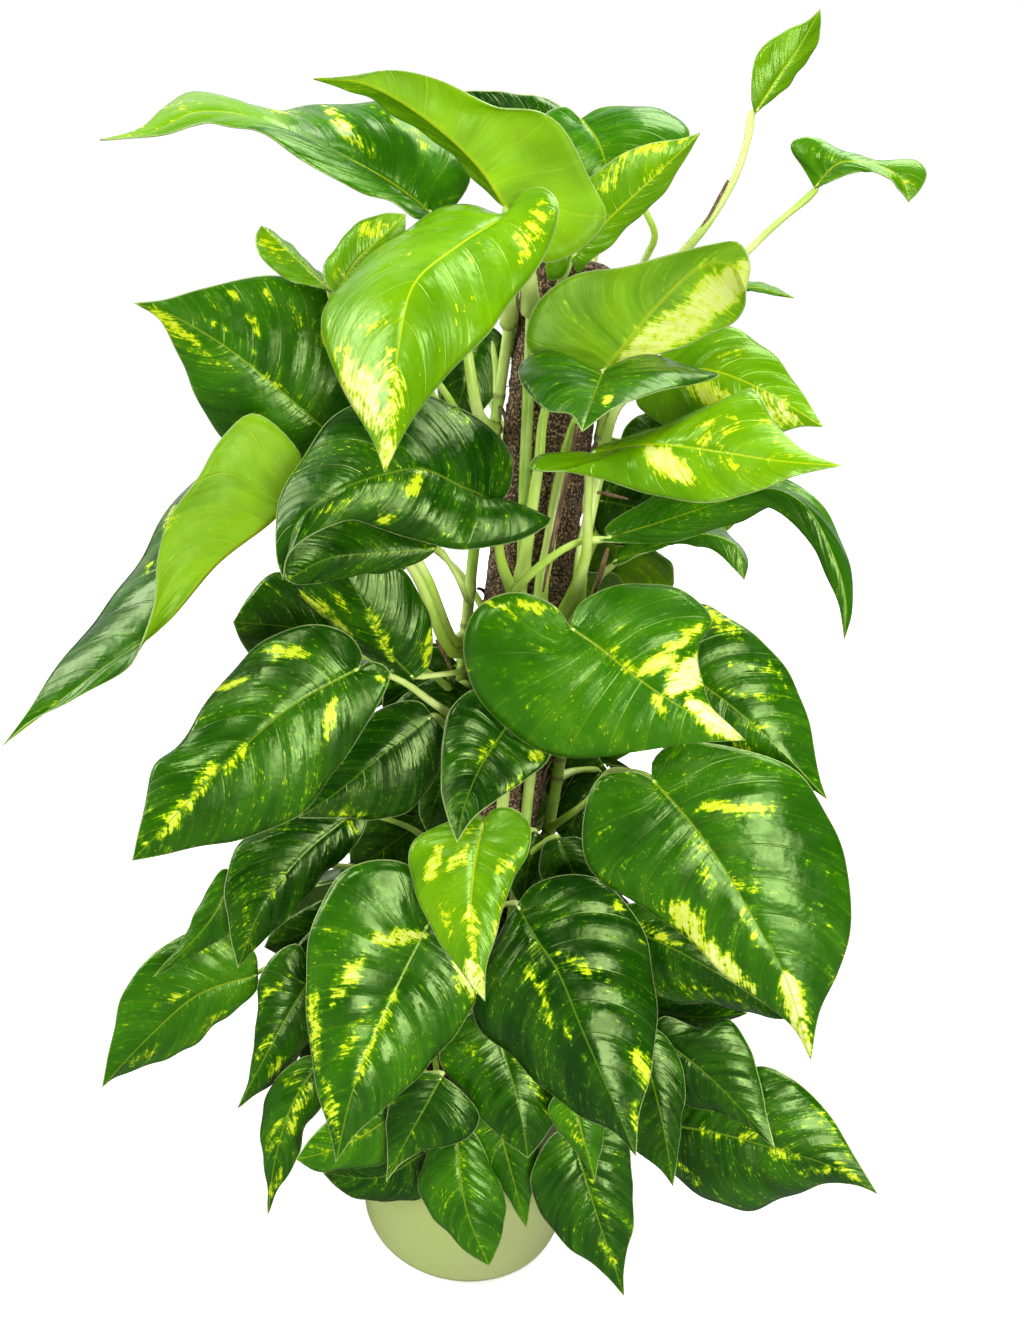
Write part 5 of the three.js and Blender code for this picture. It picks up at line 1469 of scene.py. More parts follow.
        edge_b=[(620, 1040), (614, 1080), (620, 1128), (637, 1151), (660, 1168)],
        behind=(6, 6),
    ),
    dict(
        name="foot_middle", tone="dark", stem="stem_front", joint=214,
        rib=[(492, 1012, 82), (506, 1060, 92), (520, 1110, 107), (528, 1158, 114)],
        edge_a=[(478, 1010), (452, 1030), (440, 1060), (463, 1094), (490, 1126), (512, 1146)],
        edge_b=[(514, 1014), (545, 1040), (567, 1075), (564, 1105), (550, 1128), (538, 1146)],
        behind=(0, 2),
    ),
    dict(
        name="foot_small", small=True, tone="lime", stem="stem_front_right", joint=204,
        via=[(586, 1074, 80)],
        rib=[(572, 1090, 112), (580, 1125, 119), (588, 1155, 123), (595, 1181, 126)],
        edge_a=[(560, 1090), (549, 1108), (556, 1128), (576, 1150), (589, 1170)],
        edge_b=[(590, 1094), (604, 1112), (604, 1135), (598, 1162)],
        behind=(4, 4),
    ),
    dict(
        name="foot_right", tone="dark", stem="stem_front_right", joint=186,
        rib=[(570, 1130, 103), (586, 1180, 111), (600, 1225, 117), (615, 1268, 121), (624, 1296, 122)],
        edge_a=[(556, 1132), (538, 1156), (531, 1190), (548, 1225), (575, 1250), (604, 1274)],
        edge_b=[(596, 1118), (625, 1138), (633, 1180), (632, 1225), (624, 1270)],
        behind=(0, 6),
    ),
    dict(
        name="foot_pale", small=True, tone="lime", stem="stem_front", joint=196,
        rib=[(495, 1113, 99), (508, 1160, 102), (519, 1200, 103), (527, 1229, 103)],
        edge_a=[(480, 1112), (465, 1136), (484, 1163), (503, 1190), (519, 1217)],
        edge_b=[(515, 1112), (541, 1130), (538, 1160), (531, 1200)],
        behind=(0, 0),
    ),
    dict(
        name="foot_front", tone="dark", stem="stem_front", joint=188,
        via=[(455, 1106, 91)],
        rib=[(457, 1126, 102), (460, 1172, 112), (468, 1215, 120), (489, 1266, 126)],
        edge_a=[(443, 1128), (426, 1156), (418, 1182), (432, 1214), (462, 1248)],
        edge_b=[(472, 1130), (490, 1163), (505, 1200), (503, 1232), (494, 1256)],
        behind=(4, 0),
    ),
    dict(
        name="foot_left", small=True, tone="dark", stem="stem_left", joint=200,
        via=[(423, 1070, 82)],
        rib=[(442, 1076, 102), (415, 1125, 110), (397, 1158, 115), (386, 1182, 118)],
        edge_a=[(425, 1072), (396, 1090), (386, 1125), (388, 1160)],
        edge_b=[(456, 1086), (480, 1118), (462, 1140), (425, 1151), (403, 1162)],
        behind=(4, 0),
    ),
    dict(
        name="foot_yellow", small=True, tone="lime", stem="stem_left", joint=188,
        via=[(408, 1068, 74)],
        rib=[(395, 1114, 98), (355, 1140, 104), (322, 1153, 108), (296, 1159, 110)],
        edge_a=[(380, 1100), (340, 1112), (312, 1136)],
        edge_b=[(402, 1138), (380, 1163), (345, 1170), (315, 1170)],
        behind=(4, 2),
    ),
    dict(
        name="foot_shaded", small=True, tone="dark", stem="stem_left", joint=176,
        via=[(436, 1076, 78), (427, 1100, 97)],
        rib=[(428, 1150, 95), (380, 1177, 95), (323, 1173, 94)],
        edge_a=[(414, 1146), (370, 1155), (342, 1163)],
        edge_b=[(436, 1172), (423, 1195), (392, 1202), (362, 1199), (338, 1188)],
        behind=(3, 1),
    ),
    dict(
        name="top_new", small=True, tone="lime", stem="stem_right", joint=676,
        via=[(689, 246, 22), (715, 212, 26), (736, 175, 30), (748, 138, 32)],
        rib=[(755, 113, 34), (775, 82, 36), (800, 45, 38), (820, 9, 38)],
        edge_a=[(751, 97), (758, 52), (785, 31), (808, 20)],
        edge_b=[(772, 99), (798, 74), (817, 42), (821, 22)],
        behind=(-3, 4),
    ),
    dict(
        name="top_right", tone="dark", stem="stem_right", joint=656,
        via=[(735, 262, 10), (775, 225, 16)],
        rib=[(815, 188, 20), (838, 164, 26), (872, 164, 30), (900, 178, 30), (909, 202, 28)],
        edge_a=[
            (802, 166), (791, 144), (806, 137), (848, 151), (882, 163), (917, 161), (927, 173),
            (920, 190)
        ],
        edge_b=[(826, 184), (842, 177), (864, 171), (885, 177), (899, 189)],
        behind=(8, -6),
    ),
]

# Small leaves in the shade between the others: thin young blades close to the pole, each on a stalk
# of the vine behind it. They are placed as the front leaves are.
shade_leaves = [
    dict(
        small=True, stem="stem_back", joint=644,
        via=[(598, 238, -44), (585, 205, -20)],
        rib=[(552, 172, -4), (500, 122, -6), (440, 96, -8)],
        edge_a=[(572, 150), (562, 106), (520, 95), (478, 90)],
        edge_b=[(535, 180), (492, 152), (456, 118)],
        behind=(4, 4),
    ),
    dict(
        small=True, stem="stem_right", joint=604,
        rib=[(700, 292, 24), (750, 287, 26), (794, 298, 28)],
        edge_a=[(722, 278), (756, 282), (780, 290)],
        edge_b=[(716, 302), (752, 291), (778, 296)],
        behind=(4, 0), tones=(0.55, 0.6),
    ),
    dict(
        small=True, stem="stem_right", joint=520,
        rib=[(668, 430, 24), (642, 431, 28), (619, 443, 30)],
        edge_a=[(662, 413), (642, 414), (626, 426)],
        edge_b=[(672, 446), (646, 449), (626, 449)],
        behind=(2, 2),
    ),
    dict(
        small=True, stem="stem_right", joint=372,
        rib=[(600, 772, -22), (578, 812, -18), (563, 840, -16)],
        edge_a=[(582, 768), (560, 800), (555, 828)],
        edge_b=[(616, 790), (606, 825), (584, 842)],
        behind=(3, 3),
    ),
    dict(
        small=True, stem="stem_front_right", joint=312,
        rib=[(558, 838, 44), (572, 870, 48), (585, 905, 50)],
        edge_a=[(545, 842), (540, 872), (556, 902)],
        edge_b=[(580, 838), (600, 862), (602, 892)],
        behind=(3, 3),
    ),
    dict(
        small=True, stem="stem_right", joint=236,
        rib=[(622, 1004, 44), (690, 1017, 50), (748, 1013, 56)],
        edge_a=[(648, 990), (690, 994), (725, 1002)],
        edge_b=[(636, 1034), (670, 1041), (705, 1031), (730, 1020)],
        behind=(2, 2),
    ),
    dict(
        small=True, stem="stem_left", joint=620,
        rib=[(486, 322, -8), (470, 370, -5), (452, 424, -3)],
        edge_a=[(466, 316), (442, 350), (438, 396)],
        edge_b=[(503, 338), (498, 384), (474, 420)],
        behind=(3, 3),
    ),
    dict(
        small=True, stem="stem_left", joint=350,
        rib=[(455, 760, 36), (436, 798, 42), (427, 832, 46)],
        edge_a=[(444, 755), (423, 780), (419, 812)],
        edge_b=[(464, 780), (456, 810), (440, 832)],
        behind=(3, 3),
    ),
    dict(
        small=True, stem="stem_left", joint=430,
        rib=[(472, 690, 0), (428, 732, 4), (380, 802, 6)],
        edge_a=[(442, 676), (396, 704), (371, 756)],
        edge_b=[(484, 738), (458, 790), (414, 816)],
        behind=(6, 6),
    ),
    dict(
        small=True, stem="stem_left", joint=348,
        rib=[(446, 800, -6), (402, 836, -2), (350, 872, 0)],
        edge_a=[(424, 788), (382, 802), (352, 838)],
        edge_b=[(446, 842), (418, 872), (376, 888)],
        behind=(5, 5),
    ),
    dict(
        small=True, stem="stem_left", joint=470,
        rib=[(458, 664, -10), (420, 682, -8), (382, 706, -6)],
        edge_a=[(442, 648), (410, 654), (386, 678)],
        edge_b=[(456, 698), (428, 716), (396, 726)],
        behind=(4, 4),
    ),
    dict(
        small=True, stem="stem_right", joint=386,
        rib=[(546, 764, -30), (578, 790, -28), (616, 802, -28)],
        edge_a=[(556, 748), (588, 750), (610, 774)],
        edge_b=[(545, 792), (566, 818), (598, 826)],
        behind=(4, 4),
    ),
    dict(
        small=True, stem="stem_right", joint=492,
        rib=[(598, 500, 8), (630, 506, 12), (680, 516, 16)],
        edge_a=[(600, 474), (632, 470), (664, 492)],
        edge_b=[(594, 526), (612, 544), (650, 540)],
        behind=(3, 3),
    ),
    dict(
        small=True, stem="stem_front", joint=334,
        rib=[(536, 832, 26), (528, 866, 30), (523, 906, 32)],
        edge_a=[(521, 836), (511, 866), (514, 896)],
        edge_b=[(549, 842), (546, 872), (535, 900)],
        behind=(3, 3),
    ),
    dict(
        small=True, stem="stem_left", joint=248,
        rib=[(342, 922, 40), (314, 985, 48), (300, 1058, 54)],
        edge_a=[(320, 924), (292, 958), (286, 1012)],
        edge_b=[(356, 962), (340, 1022), (320, 1058)],
        behind=(4, 4),
    ),
    dict(
        small=True, stem="stem_left", joint=262,
        rib=[(350, 905, 14), (306, 932, 20), (264, 947, 26)],
        edge_a=[(328, 899), (296, 914), (272, 931)],
        edge_b=[(346, 932), (312, 952), (284, 956)],
        behind=(3, 3),
    ),
]

# Pale marks brushed on the leaves, as strokes: start and end pixels, half width in pixels, strength
# and how creamy they are. Most are the leaves' own yellow and cream flecks. The creamy strokes at
# crown_front's lower left are partly painted highlights, and the one at middle_lime's tip is a painted
# highlight.
pale_strokes = {
    "crown_front": [
        (545, 205, 520, 262, 16, 0.63, 0.2), (500, 245, 470, 262, 14, 0.31, 0.0),
        # The creamy strokes at the lower left are partly the leaf's own cream variegation and partly a
        # painted highlight of the window on the left.
        (392, 356, 386, 448, 18, 0.62, 0.95),
        (348, 368, 380, 425, 27, 0.80, 0.95), (338, 340, 350, 380, 14, 0.55, 0.7),
        (470, 290, 440, 350, 12, 0.25, 0.0),
        (385, 440, 388, 468, 10, 0.85, 0.7), (350, 330, 400, 318, 8, 0.40, 0.0),
    ],
    "crown_raised": [(345, 84, 375, 92, 8, 0.44, 0.3), (520, 190, 545, 215, 18, 0.20, 0.0)],
    "upper_left": [
        (374, 156, 325, 107, 9, 0.63, 0.9), (300, 110, 270, 108, 5, 0.38, 0.8),
        (200, 100, 160, 112, 5, 0.35, 0.2),
        (430, 150, 395, 120, 6, 0.30, 0.2), (150, 128, 112, 139, 4, 0.30, 0.1),
    ],
    "crown_right": [
        (602, 190, 632, 152, 12, 0.62, 0.1), (632, 152, 688, 138, 9, 0.58, 0.1),
        (640, 190, 668, 158, 7, 0.40, 0.0),
    ],
    "small_left": [(262, 240, 290, 262, 10, 0.48, 0.0)],
    "small_upright": [(360, 235, 385, 225, 14, 0.55, 0.0), (335, 270, 345, 285, 8, 0.44, 0.2)],
    "left_flecked": [
        (150, 308, 200, 345, 7, 0.63, 0.1), (200, 318, 232, 332, 5, 0.43, 0.1),
        (190, 350, 240, 372, 7, 0.41, 0.1),
        (250, 365, 290, 395, 5, 0.41, 0.2), (235, 345, 262, 352, 4, 0.38, 0.0),
        (170, 320, 178, 342, 5, 0.43, 0.3),
        (228, 288, 240, 300, 4, 0.55, 0.1), (262, 286, 274, 308, 4, 0.55, 0.1),
        (244, 312, 262, 338, 4, 0.58, 0.1),
        (290, 300, 300, 326, 4, 0.50, 0.1), (314, 322, 326, 345, 4, 0.62, 0.1),
        (206, 296, 218, 312, 4, 0.50, 0.1),
    ],
    "left_hanging": [(180, 505, 165, 535, 4, 0.60, 0.2), (150, 560, 145, 575, 4, 0.60, 0.2)],
    "left_broad": [
        (440, 400, 470, 425, 8, 0.45, 0.1), (405, 495, 422, 472, 9, 0.72, 0.0),
        (378, 520, 394, 516, 7, 0.72, 0.2),
        (322, 512, 345, 500, 5, 0.40, 0.2), (470, 398, 500, 420, 7, 0.35, 0.1),
    ],
    "left_middle": [
        (300, 590, 355, 640, 7, 0.63, 0.3), (370, 610, 392, 660, 8, 0.60, 0.2),
        (430, 630, 425, 665, 7, 0.63, 0.0),
        (330, 590, 350, 612, 5, 0.45, 0.1),
    ],
    "left_front": [
        (268, 650, 308, 655, 8, 0.69, 0.1), (215, 690, 250, 676, 6, 0.69, 0.2),
        (335, 700, 324, 745, 7, 0.69, 0.3),
        (215, 760, 190, 808, 9, 0.60, 0.2), (190, 800, 160, 838, 8, 0.63, 0.3),
        (245, 745, 225, 772, 7, 0.63, 0.1),
        (378, 672, 386, 684, 6, 0.45, 0.5), (140, 835, 150, 850, 6, 0.43, 0.6),
    ],
    "left_shaded": [(330, 812, 372, 815, 5, 0.38, 0.2)],
    "right_raised": [
        (625, 360, 742, 285, 21, 1.1, 0.6), (690, 318, 744, 268, 20, 1.20, 0.5),
        (560, 300, 590, 330, 10, 0.28, 0.1),
        (690, 262, 740, 262, 8, 0.33, 0.2),
    ],
    "right_speckled": [(604, 404, 612, 398, 6, 0.85, 0.3), (560, 378, 650, 366, 14, 0.12, 0.8)],
    "right_pale": [
        (690, 388, 735, 402, 13, 0.69, 0.3), (750, 392, 800, 424, 14, 0.69, 0.9),
        (700, 355, 740, 350, 12, 0.31, 0.2)
    ],
    "right_front": [
        (650, 452, 690, 480, 15, 1.02, 0.5), (700, 440, 740, 418, 16, 0.38, 0.2),
        (700, 455, 745, 470, 8, 0.38, 0.1),
        (755, 410, 790, 455, 7, 0.38, 0.5),
    ],
    "middle_front": [
        (640, 674, 698, 628, 10, 0.80, 0.3), (672, 692, 704, 656, 17, 1.05, 0.9),
        (688, 700, 736, 738, 12, 0.95, 0.95),
        (480, 602, 560, 608, 7, 0.63, 0.1), (655, 695, 668, 722, 8, 0.66, 0.2),
        (612, 650, 640, 676, 8, 0.45, 0.1),
        (505, 625, 560, 660, 6, 0.25, 0.1),
    ],
    "right_flecked": [
        (705, 608, 740, 640, 10, 0.63, 0.2), (725, 665, 772, 672, 5, 0.47, 0.2),
        (720, 690, 780, 700, 7, 0.47, 0.2),
        (735, 742, 770, 775, 7, 0.60, 0.2), (765, 655, 790, 690, 5, 0.38, 0.2),
        (735, 722, 790, 732, 5, 0.43, 0.2),
    ],
    "middle_low": [
        (480, 762, 492, 742, 6, 0.47, 0.1), (530, 760, 545, 748, 7, 0.63, 0.2),
        (505, 790, 522, 775, 5, 0.43, 0.1)
    ],
    "middle_lime": [
        (426, 880, 440, 848, 9, 0.85, 0.3), (450, 868, 468, 846, 8, 0.80, 0.2),
        (470, 905, 474, 962, 8, 0.70, 0.3),
        # The first stroke below, which runs to the tip, is a painted highlight.
        (468, 960, 484, 998, 10, 0.95, 0.9), (497, 872, 520, 850, 9, 0.55, 0.1),
        (440, 905, 452, 935, 6, 0.45, 0.1),
        (505, 890, 492, 940, 5, 0.50, 0.1), (458, 835, 490, 822, 7, 0.45, 0.0),
    ],
    "right_broad": [
        (700, 804, 778, 812, 7, 0.84, 0.1), (690, 830, 712, 892, 13, 0.45, 0.1),
        (676, 905, 700, 940, 17, 0.78, 0.5),
        (700, 940, 752, 990, 11, 0.86, 0.8), (785, 972, 808, 1050, 11, 1.0, 0.8),
        (730, 880, 760, 888, 8, 0.40, 0.1),
        (812, 900, 832, 925, 7, 0.38, 0.1), (742, 905, 758, 945, 8, 0.45, 0.1),
        (825, 965, 835, 990, 6, 0.38, 0.1),
    ],
    "low_left_upper": [
        (285, 870, 270, 900, 6, 0.38, 0.1), (345, 822, 358, 830, 7, 0.47, 0.2),
        (245, 905, 252, 950, 5, 0.38, 0.2)
    ],
    "low_left_outer": [
        (130, 1065, 160, 1045, 6, 0.45, 0.2), (190, 950, 230, 948, 5, 0.38, 0.2),
        (150, 1010, 190, 990, 5, 0.43, 0.2),
        (200, 1030, 225, 1012, 5, 0.45, 0.2),
    ],
    "low_middle": [
        (372, 938, 425, 935, 9, 0.75, 0.5), (332, 1002, 368, 952, 9, 0.69, 0.6),
        (340, 1060, 372, 1000, 8, 0.45, 0.1),
        (312, 990, 318, 1070, 8, 0.63, 0.3), (457, 962, 476, 1000, 10, 0.84, 0.75),
        (325, 1080, 338, 1140, 8, 0.60, 0.2),
        (398, 985, 372, 1045, 6, 0.60, 0.1), (372, 1044, 352, 1088, 6, 0.60, 0.2),
    ],
    "low_front": [
        (560, 954, 614, 984, 7, 0.60, 0.1), (635, 1050, 648, 1085, 9, 0.75, 0.2),
        (612, 905, 626, 912, 6, 0.63, 0.1),
        (530, 940, 560, 975, 6, 0.33, 0.0), (600, 1010, 622, 1018, 5, 0.33, 0.1),
        (632, 1100, 636, 1130, 6, 0.60, 0.2),
        (541, 980, 550, 1025, 5, 0.66, 0.1), (527, 962, 537, 986, 5, 0.60, 0.1),
        (566, 1020, 572, 1046, 4, 0.55, 0.1),
    ],
    "low_left_inner": [
        (262, 1000, 290, 975, 5, 0.43, 0.2), (256, 1060, 275, 1030, 5, 0.43, 0.2),
        (258, 1012, 266, 988, 5, 0.50, 0.2),
        (268, 1078, 282, 1056, 6, 0.52, 0.2),
    ],
    "low_left_tip": [
        (285, 1085, 305, 1070, 6, 0.45, 0.2), (268, 1150, 280, 1120, 5, 0.45, 0.2),
        (296, 1110, 312, 1082, 8, 0.60, 0.3),
        (288, 1136, 297, 1114, 6, 0.50, 0.2), (270, 1196, 280, 1168, 5, 0.52, 0.2),
    ],
    "low_right_upper": [(640, 925, 680, 945, 6, 0.60, 0.2), (690, 985, 740, 1000, 4, 0.35, 0.2)],
    "low_right_outer": [
        (700, 1110, 760, 1100, 6, 0.33, 0.3), (720, 1165, 770, 1175, 6, 0.28, 0.3),
        (810, 1100, 855, 1165, 5, 0.30, 0.3),
        (680, 1165, 700, 1185, 6, 0.55, 0.1), (735, 1138, 765, 1132, 6, 0.55, 0.1),
        (770, 1152, 800, 1158, 7, 0.50, 0.2),
        (800, 1172, 835, 1168, 6, 0.55, 0.1), (700, 1128, 722, 1140, 5, 0.50, 0.1),
        (835, 1160, 860, 1180, 5, 0.60, 0.3),
        (722, 1102, 755, 1118, 6, 0.55, 0.1),
    ],
    "foot_middle": [(515, 1060, 545, 1100, 7, 0.38, 0.1), (460, 1040, 480, 1060, 5, 0.33, 0.1)],
    "foot_small": [(560, 1095, 585, 1150, 8, 0.30, 0.5)],
    "foot_right": [(585, 1170, 612, 1230, 5, 0.38, 0.1), (600, 1240, 618, 1270, 6, 0.43, 0.1)],
    "foot_pale": [(490, 1120, 520, 1200, 12, 0.12, 0.9)],
    "foot_front": [(460, 1130, 463, 1180, 4, 0.25, 0.1)],
    "foot_yellow": [(310, 1150, 370, 1130, 12, 0.40, 0.1)],
    "top_right": [(812, 150, 850, 165, 5, 0.31, 0.1), (880, 170, 910, 185, 6, 0.31, 0.4)],
    "top_new": [(765, 100, 800, 45, 5, 0.15, 0.2)],
}
LEAF_ROWS = 60
LEAF_HALF_COLUMNS = 14
SMALL_ROWS = 40
SMALL_HALF_COLUMNS = 9
TONES = {"dark": (0.14, 0.35), "lime": (0.95, 0.95)}
FLECKS = {"dark": 0.07, "lime": 0.07}
# Leaves whose green differs: how lime their upper side and their underside are
leaf_tones = {
    "crown_raised": (0.90, 0.84), "crown_dark": (0.46, 0.6), "crown_right": (0.94, 0.9),
    "small_left": (0.86, 0.9), "small_upright": (0.88, 0.9), "upper_left": (0.40, 0.6),
    "left_flecked": (0.27, 0.4), "left_hanging": (0.20, 0.74), "left_broad": (0.11, 0.3),
    "left_under": (0.12, 0.3), "left_middle": (0.14, 0.3), "left_pointed": (0.14, 0.3),
    "left_front": (0.17, 0.3), "left_shaded": (0.06, 0.2), "right_raised": (0.80, 0.66),
    "right_speckled": (0.24, 0.45), "right_pale": (0.90, 0.9), "right_front": (0.92, 0.9),
    "right_arched": (0.30, 0.5), "right_narrow": (0.32, 0.5), "middle_front": (0.42, 0.5),
    "right_flecked": (0.24, 0.4), "middle_low": (0.10, 0.3), "middle_lime": (0.84, 0.9),
    "right_broad": (0.28, 0.4), "low_left_upper": (0.08, 0.3), "low_left_outer": (0.40, 0.45),
    "low_left_narrow": (0.28, 0.4), "low_middle": (0.27, 0.3), "low_front": (0.06, 0.3),
    "low_left_inner": (0.18, 0.3), "low_left_tip": (0.24, 0.3), "low_right_upper": (0.10, 0.3),
    "low_right_middle": (0.14, 0.3), "low_right_outer": (0.15, 0.3), "low_right_hanging": (0.14, 0.3),
    "foot_middle": (0.13, 0.3), "foot_small": (0.40, 0.5), "foot_right": (0.16, 0.3),
    "foot_pale": (0.30, 0.5), "foot_front": (0.27, 0.4), "foot_left": (0.12, 0.2),
    "foot_yellow": (0.48, 0.7), "foot_shaded": (0.05, 0.2), "top_new": (0.86, 0.9),
    "top_right": (0.62, 0.85),
}
puckers = {
    "crown_front": 0.0009, "crown_right": 0.0008, "left_flecked": 0.0010, "left_broad": 0.0008,
    "left_middle": 0.0008, "low_front": 0.0026, "low_middle": 0.0022, "foot_right": 0.0026,
    "foot_front": 0.0020, "low_right_outer": 0.0026, "foot_middle": 0.0022, "foot_shaded": 0.0022,
    "low_left_inner": 0.0022, "low_left_tip": 0.0022, "low_right_middle": 0.0022,
    "low_left_upper": 0.0022, "left_shaded": 0.0010, "low_right_hanging": 0.0020, "left_front": 0.0009,
}
lime_tips = {"upper_left": 0.5, "left_flecked": 0.1}
stalk_girths = {
    "right_pale": 2.1, "right_front": 1.7, "crown_front": 1.8, "crown_raised": 2.0,
    "right_speckled": 1.6, "right_raised": 2.0, "left_flecked": 1.7, "left_hanging": 1.6,
    "left_broad": 1.6, "upper_left": 1.6, "crown_right": 1.4, "left_front": 1.3, "right_arched": 1.4,
    "top_new": 1.3, "top_right": 1.2,
}


def leaf_rows(leaf):
    """The rows of a leaf that is placed by pixels, turned so that its upper side is the right one."""
    rib = [np.array(seen(point)) for point in leaf["rib"]]
    outs = [point[2] for point in leaf["rib"]]
    edges = []
    for pixels, behind in ((leaf["edge_a"], leaf["behind"][0]), (leaf["edge_b"], leaf["behind"][1])):
        edge = []
        for index, point in enumerate(pixels):
            share = (index + 1) / (len(pixels) + 1)
            depth = behind * math.sin(math.pi * share) ** 0.6 * (1 - share ** 4)
            level = np.interp(share ** VEIN_SWEEP * (len(outs) - 1), range(len(outs)), outs)
            out = point[2] if len(point) > 2 else level - depth
            edge.append(np.array(seen((point[0], point[1], out))))
        edges.append(edge)
    size = (SMALL_ROWS, SMALL_HALF_COLUMNS) if leaf.get("small") else (LEAF_ROWS, LEAF_HALF_COLUMNS)
    rows_of = vein_rows(rib, edges, *size)
    looks_at_eye = shown_side(rows_of[0]) @ (np.array(EYE) - rib[0]) > 0
    if looks_at_eye == bool(leaf.get("under")):
        rows_of = vein_rows(rib, edges[::-1], *size)
    return rib, rows_of


GOLDEN_SHARE = 0.381966
PLAIN_QUILT = 0.0014
for index, leaf in enumerate(seen_leaves):
    rib, rows_of = leaf_rows(leaf)
    name = leaf["name"]
    seed = (index * GOLDEN_SHARE) % 1
    blade = grown_blade(
        name + "_leaf", rows_of, leaf_tones.get(name, TONES[leaf["tone"]]), FLECKS[leaf["tone"]],
        pale_strokes.get(name, []), seed, (leaf_top, leaf_under), quilt=puckers.get(name, PLAIN_QUILT),
        tip=lime_tips.get(name, 0.0),
    )
    leaf["girth"] = stalk_girths.get(name, 1.0)
    stalk = leaf_stalk(name + "_stalk", leaf, rib[0], SmoothLine(rib), shown_side(rows_of[0]))
    leaf_piece = joined([blade, stalk])
    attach(leaf_piece, "root")
    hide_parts("leaf_" + name)


# Leaves at the sides and back, in real sizes: azimuth of the notch round the pole, its distance
# from the pole and height in millimetres, the blade's length and width, its dip and its turn.
HEART = [
    (0.17, -0.09), (0.36, -0.05), (0.48, 0.14), (0.47, 0.38), (0.36, 0.62), (0.17, 0.83), (0.05, 0.94)
]
DROOP = 38
hidden_leaves = {
    "stem_back_left": [
        (-130, 92, 640, 144, 102, 28, -8), (-152, 102, 556, 150, 110, 48, 18),
        (-121, 104, 520, 140, 104, 42, -12),
        (-138, 108, 430, 152, 114, 52, 8), (-118, 108, 372, 140, 102, 48, -6),
        (-143, 110, 312, 138, 102, 56, 6),
        (-118, 112, 256, 132, 98, 52, -10),
    ],
    "stem_back": [
        (170, 88, 676, 138, 102, 30, 20), (190, 104, 596, 150, 112, 46, -10),
        (168, 106, 500, 148, 108, 50, 14),
        (192, 110, 404, 142, 104, 52, -14), (174, 112, 322, 142, 106, 56, 6),
        (186, 112, 246, 132, 96, 54, -8),
    ],
    "stem_back_right": [
        (130, 94, 600, 144, 106, 34, 12), (152, 102, 532, 136, 102, 50, 4),
        (120, 96, 462, 130, 98, 56, 0),
        (148, 108, 424, 144, 106, 54, 10), (120, 106, 362, 138, 102, 54, 4),
        (146, 110, 314, 140, 104, 56, -4),
        (121, 110, 256, 132, 98, 56, 4), (150, 112, 222, 126, 94, 58, 10),
    ],
}


def hidden_rows(azimuth, radius, height, length, width, dip, turn):
    notch = np.array(around(azimuth, radius, height))
    heading = math.radians(azimuth + turn)
    outward = np.array((math.sin(heading), -math.cos(heading), 0))
    sideways = np.array((math.cos(heading), math.sin(heading), 0))
    length, width = length / 1000, width / 1000

    def rib_at(share):
        place = notch.copy()
        for step in range(8):
            slope = math.radians(dip + DROOP * (share * (step + 0.5) / 8 - 0.5))
            place += (
                outward * math.cos(slope) - np.array((0, 0, math.sin(slope)))
            ) * share * length / 8
        return place

    def edge(sign):
        places = []
        for across, along in HEART:
            place = rib_at(0) + outward * along * length if along < 0 else rib_at(along)
            place = place + sideways * sign * across * width
            place[2] -= 0.12 * across * width
            places.append(place)
        return places

    rib = [rib_at(share) for share in (0, 0.33, 0.66, 1)]
    return rib, vein_rows(rib, (edge(1), edge(-1)), SMALL_ROWS, SMALL_HALF_COLUMNS)


stem_skin, tree, shader = new_material("stem_skin")
place = node(tree, "TexCoord").outputs["Object"]
long_way = node(tree, "Mapping", {"Vector": place})
long_way.inputs["Scale"].default_value = (1, 1, 0.1)
lines = noise(tree, long_way.outputs[0], 380, 3, 0.6)
patches = noise(tree, place, 16, 4, 0.6)
ringed = node(tree, "Attribute", attribute_name="stem_ring").outputs["Fac"]
colour = blended(tree, between(tree, patches, 0.3, 0.7), STEM_GREEN, STEM_PALE)
colour = blended(tree, between(tree, lines, 0.45, 0.8, 0.0, 0.6), colour, STEM_PALE)
colour = blended(tree, between(tree, ringed, 0.35, 0.9, 0.0, 0.75), colour, NODE_BROWN)
tree.links.new(colour, shader.inputs["Base Color"])
shader.inputs["Roughness"].default_value = 0.4
raised(tree, lines, shader, 0.3, 0.0006)

root_bark, tree, shader = new_material("root_bark")
place = node(tree, "TexCoord").outputs["Object"]
grain = noise(tree, place, 700, 4, 0.65)
tree.links.new(
    blended(tree, between(tree, grain, 0.3, 0.7), STEM_BROWN, NODE_BROWN), shader.inputs["Base Color"]
)
shader.inputs["Roughness"].default_value = 0.8
raised(tree, grain, shader, 0.5, 0.0006)

STEM_STEP = 0.0035
RING_SPREAD = 0.0028
ROOTS_PER_NODE = 3


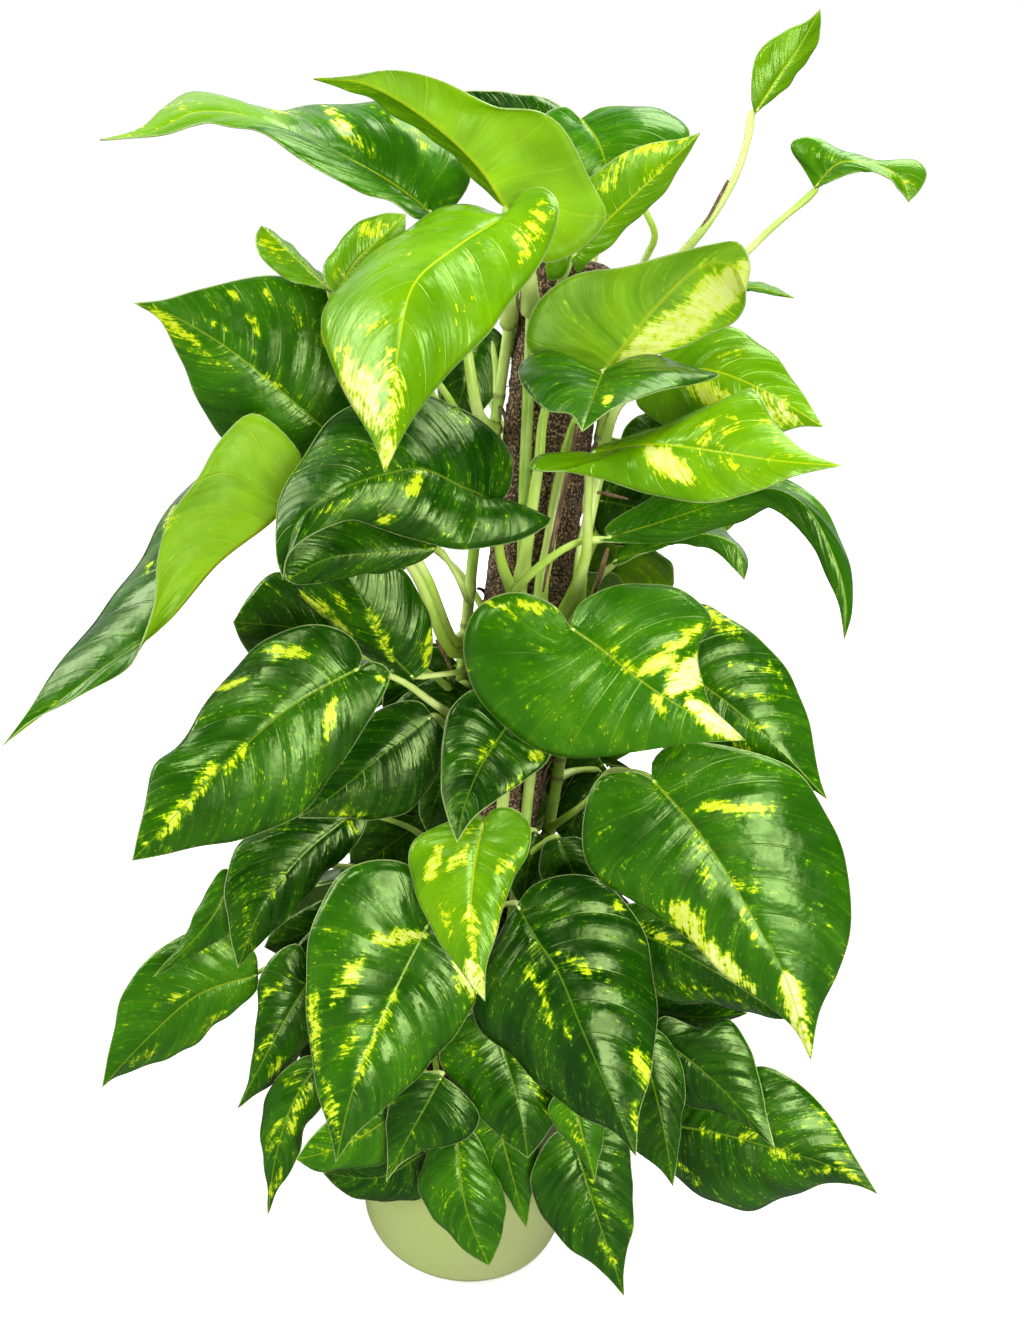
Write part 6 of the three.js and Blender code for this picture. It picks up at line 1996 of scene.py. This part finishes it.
def climbing_stem(name, joints):
    """A stem with a ring at each joint, and the short roots that hold it to the pole there."""
    line = stem_lines[name]
    steps = int(line.length / STEM_STEP)
    share = np.linspace(0, 1, steps + 1)
    centres = line.at(share)
    radii = STEM_RADIUS - STEM_TAPER * share
    ring = np.zeros(steps + 1)
    for joint in joints:
        ring = np.maximum(ring, np.exp(-((centres[:, 2] - joint / 1000) / RING_SPREAD) ** 2))
    radii = radii + 0.0007 * ring
    radii[-1] *= 0.5
    stem = round_stalk(name + "_vine", centres, radii, STEM_SIDES)
    co = np.zeros(len(stem.data.vertices) * 3, np.float32)
    stem.data.vertices.foreach_get("co", co)
    heights = co.reshape(-1, 3)[:, 2]
    kept_at_points(stem.data, "stem_ring", "FLOAT", "value", np.interp(heights, centres[:, 2], ring))
    stem.data.materials.append(stem_skin)
    roots = []
    for joint in joints:
        at = stem_at(name, joint + rough.uniform(-6, 2))
        azimuth = math.degrees(math.atan2(at[0] - POLE_AXIS.x, -(at[1] - POLE_AXIS.y)))
        for index in range(ROOTS_PER_NODE):
            swing = rough.choice((-1, 1)) * rough.uniform(14, 40)
            drop = rough.uniform(4, 26)
            route = []
            for step in range(7):
                part = step / 6
                radius = 1000 * STEM_RADIUS + 29 - (1 - part) * 1.0 - 3.0 * min(part * 2.5, 1)
                route.append(
                    np.array(
                        around(azimuth + swing * part ** 0.8, radius, at[2] * 1000 - drop * part ** 1.4)
                    )
                )
            roots.append(([tuple(p) for p in SmoothLine(route, 3).line], rough.uniform(0.0006, 0.0011)))
    if roots:
        hairs = thin_hairs(name + "_roots", roots, 6)
        hairs.data.materials.append(root_bark)
        return joined([stem, hairs])
    return stem


def stem_leaf(piece, leaf, rib, rows_of, tones, flecks, seed):
    """A blade of a stem, joined to its stalk."""
    blade = grown_blade(piece, rows_of, tones, flecks, [], seed % 1, (leaf_top, leaf_under))
    stalk = leaf_stalk(piece + "_stalk", leaf, rib[0], SmoothLine(rib), shown_side(rows_of[0]))
    return joined([blade, stalk])


# Each vine carries its small shaded leaves and the leaves at its sides and back as one growth, every
# blade fixed to it by its own stalk. Tones say how lime the upper side and the underside are.
SHADE_TONES = (0.08, 0.3)
SHADE_FLECKS = 0.08
FAR_STALK_RISE = 52
for order, stem_name in enumerate(stem_bends):
    joints = [leaf["joint"] for leaf in seen_leaves + shade_leaves if leaf["stem"] == stem_name]
    joints += [row[2] - FAR_STALK_RISE for row in hidden_leaves.get(stem_name, [])]
    vine = climbing_stem(stem_name, joints)
    parts = []
    for index, leaf in enumerate(leaf for leaf in shade_leaves if leaf["stem"] == stem_name):
        rib, rows_of = leaf_rows(leaf)
        seed = 0.17 + index * GOLDEN_SHARE + order * 0.23
        parts.append(stem_leaf(
            f"{stem_name}_shade_leaf_{index + 1}", leaf, rib, rows_of,
            leaf.get("tones", SHADE_TONES), SHADE_FLECKS, seed,
        ))
    for index, row in enumerate(hidden_leaves.get(stem_name, [])):
        rib, rows_of = hidden_rows(*row)
        seed = 0.61 + index * GOLDEN_SHARE + order * 0.17
        tone = 0.6 if index == 0 else 0.10 + 0.1 * (index % 3)
        parts.append(stem_leaf(
            f"{stem_name}_far_leaf_{index + 1}", dict(stem=stem_name, joint=row[2] - FAR_STALK_RISE),
            rib, rows_of, (tone, tone + 0.3), 0.14 + 0.09 * (index % 3), seed,
        ))
    for piece in parts:
        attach(piece, "root")
    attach(vine, "root")
    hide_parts(stem_name)
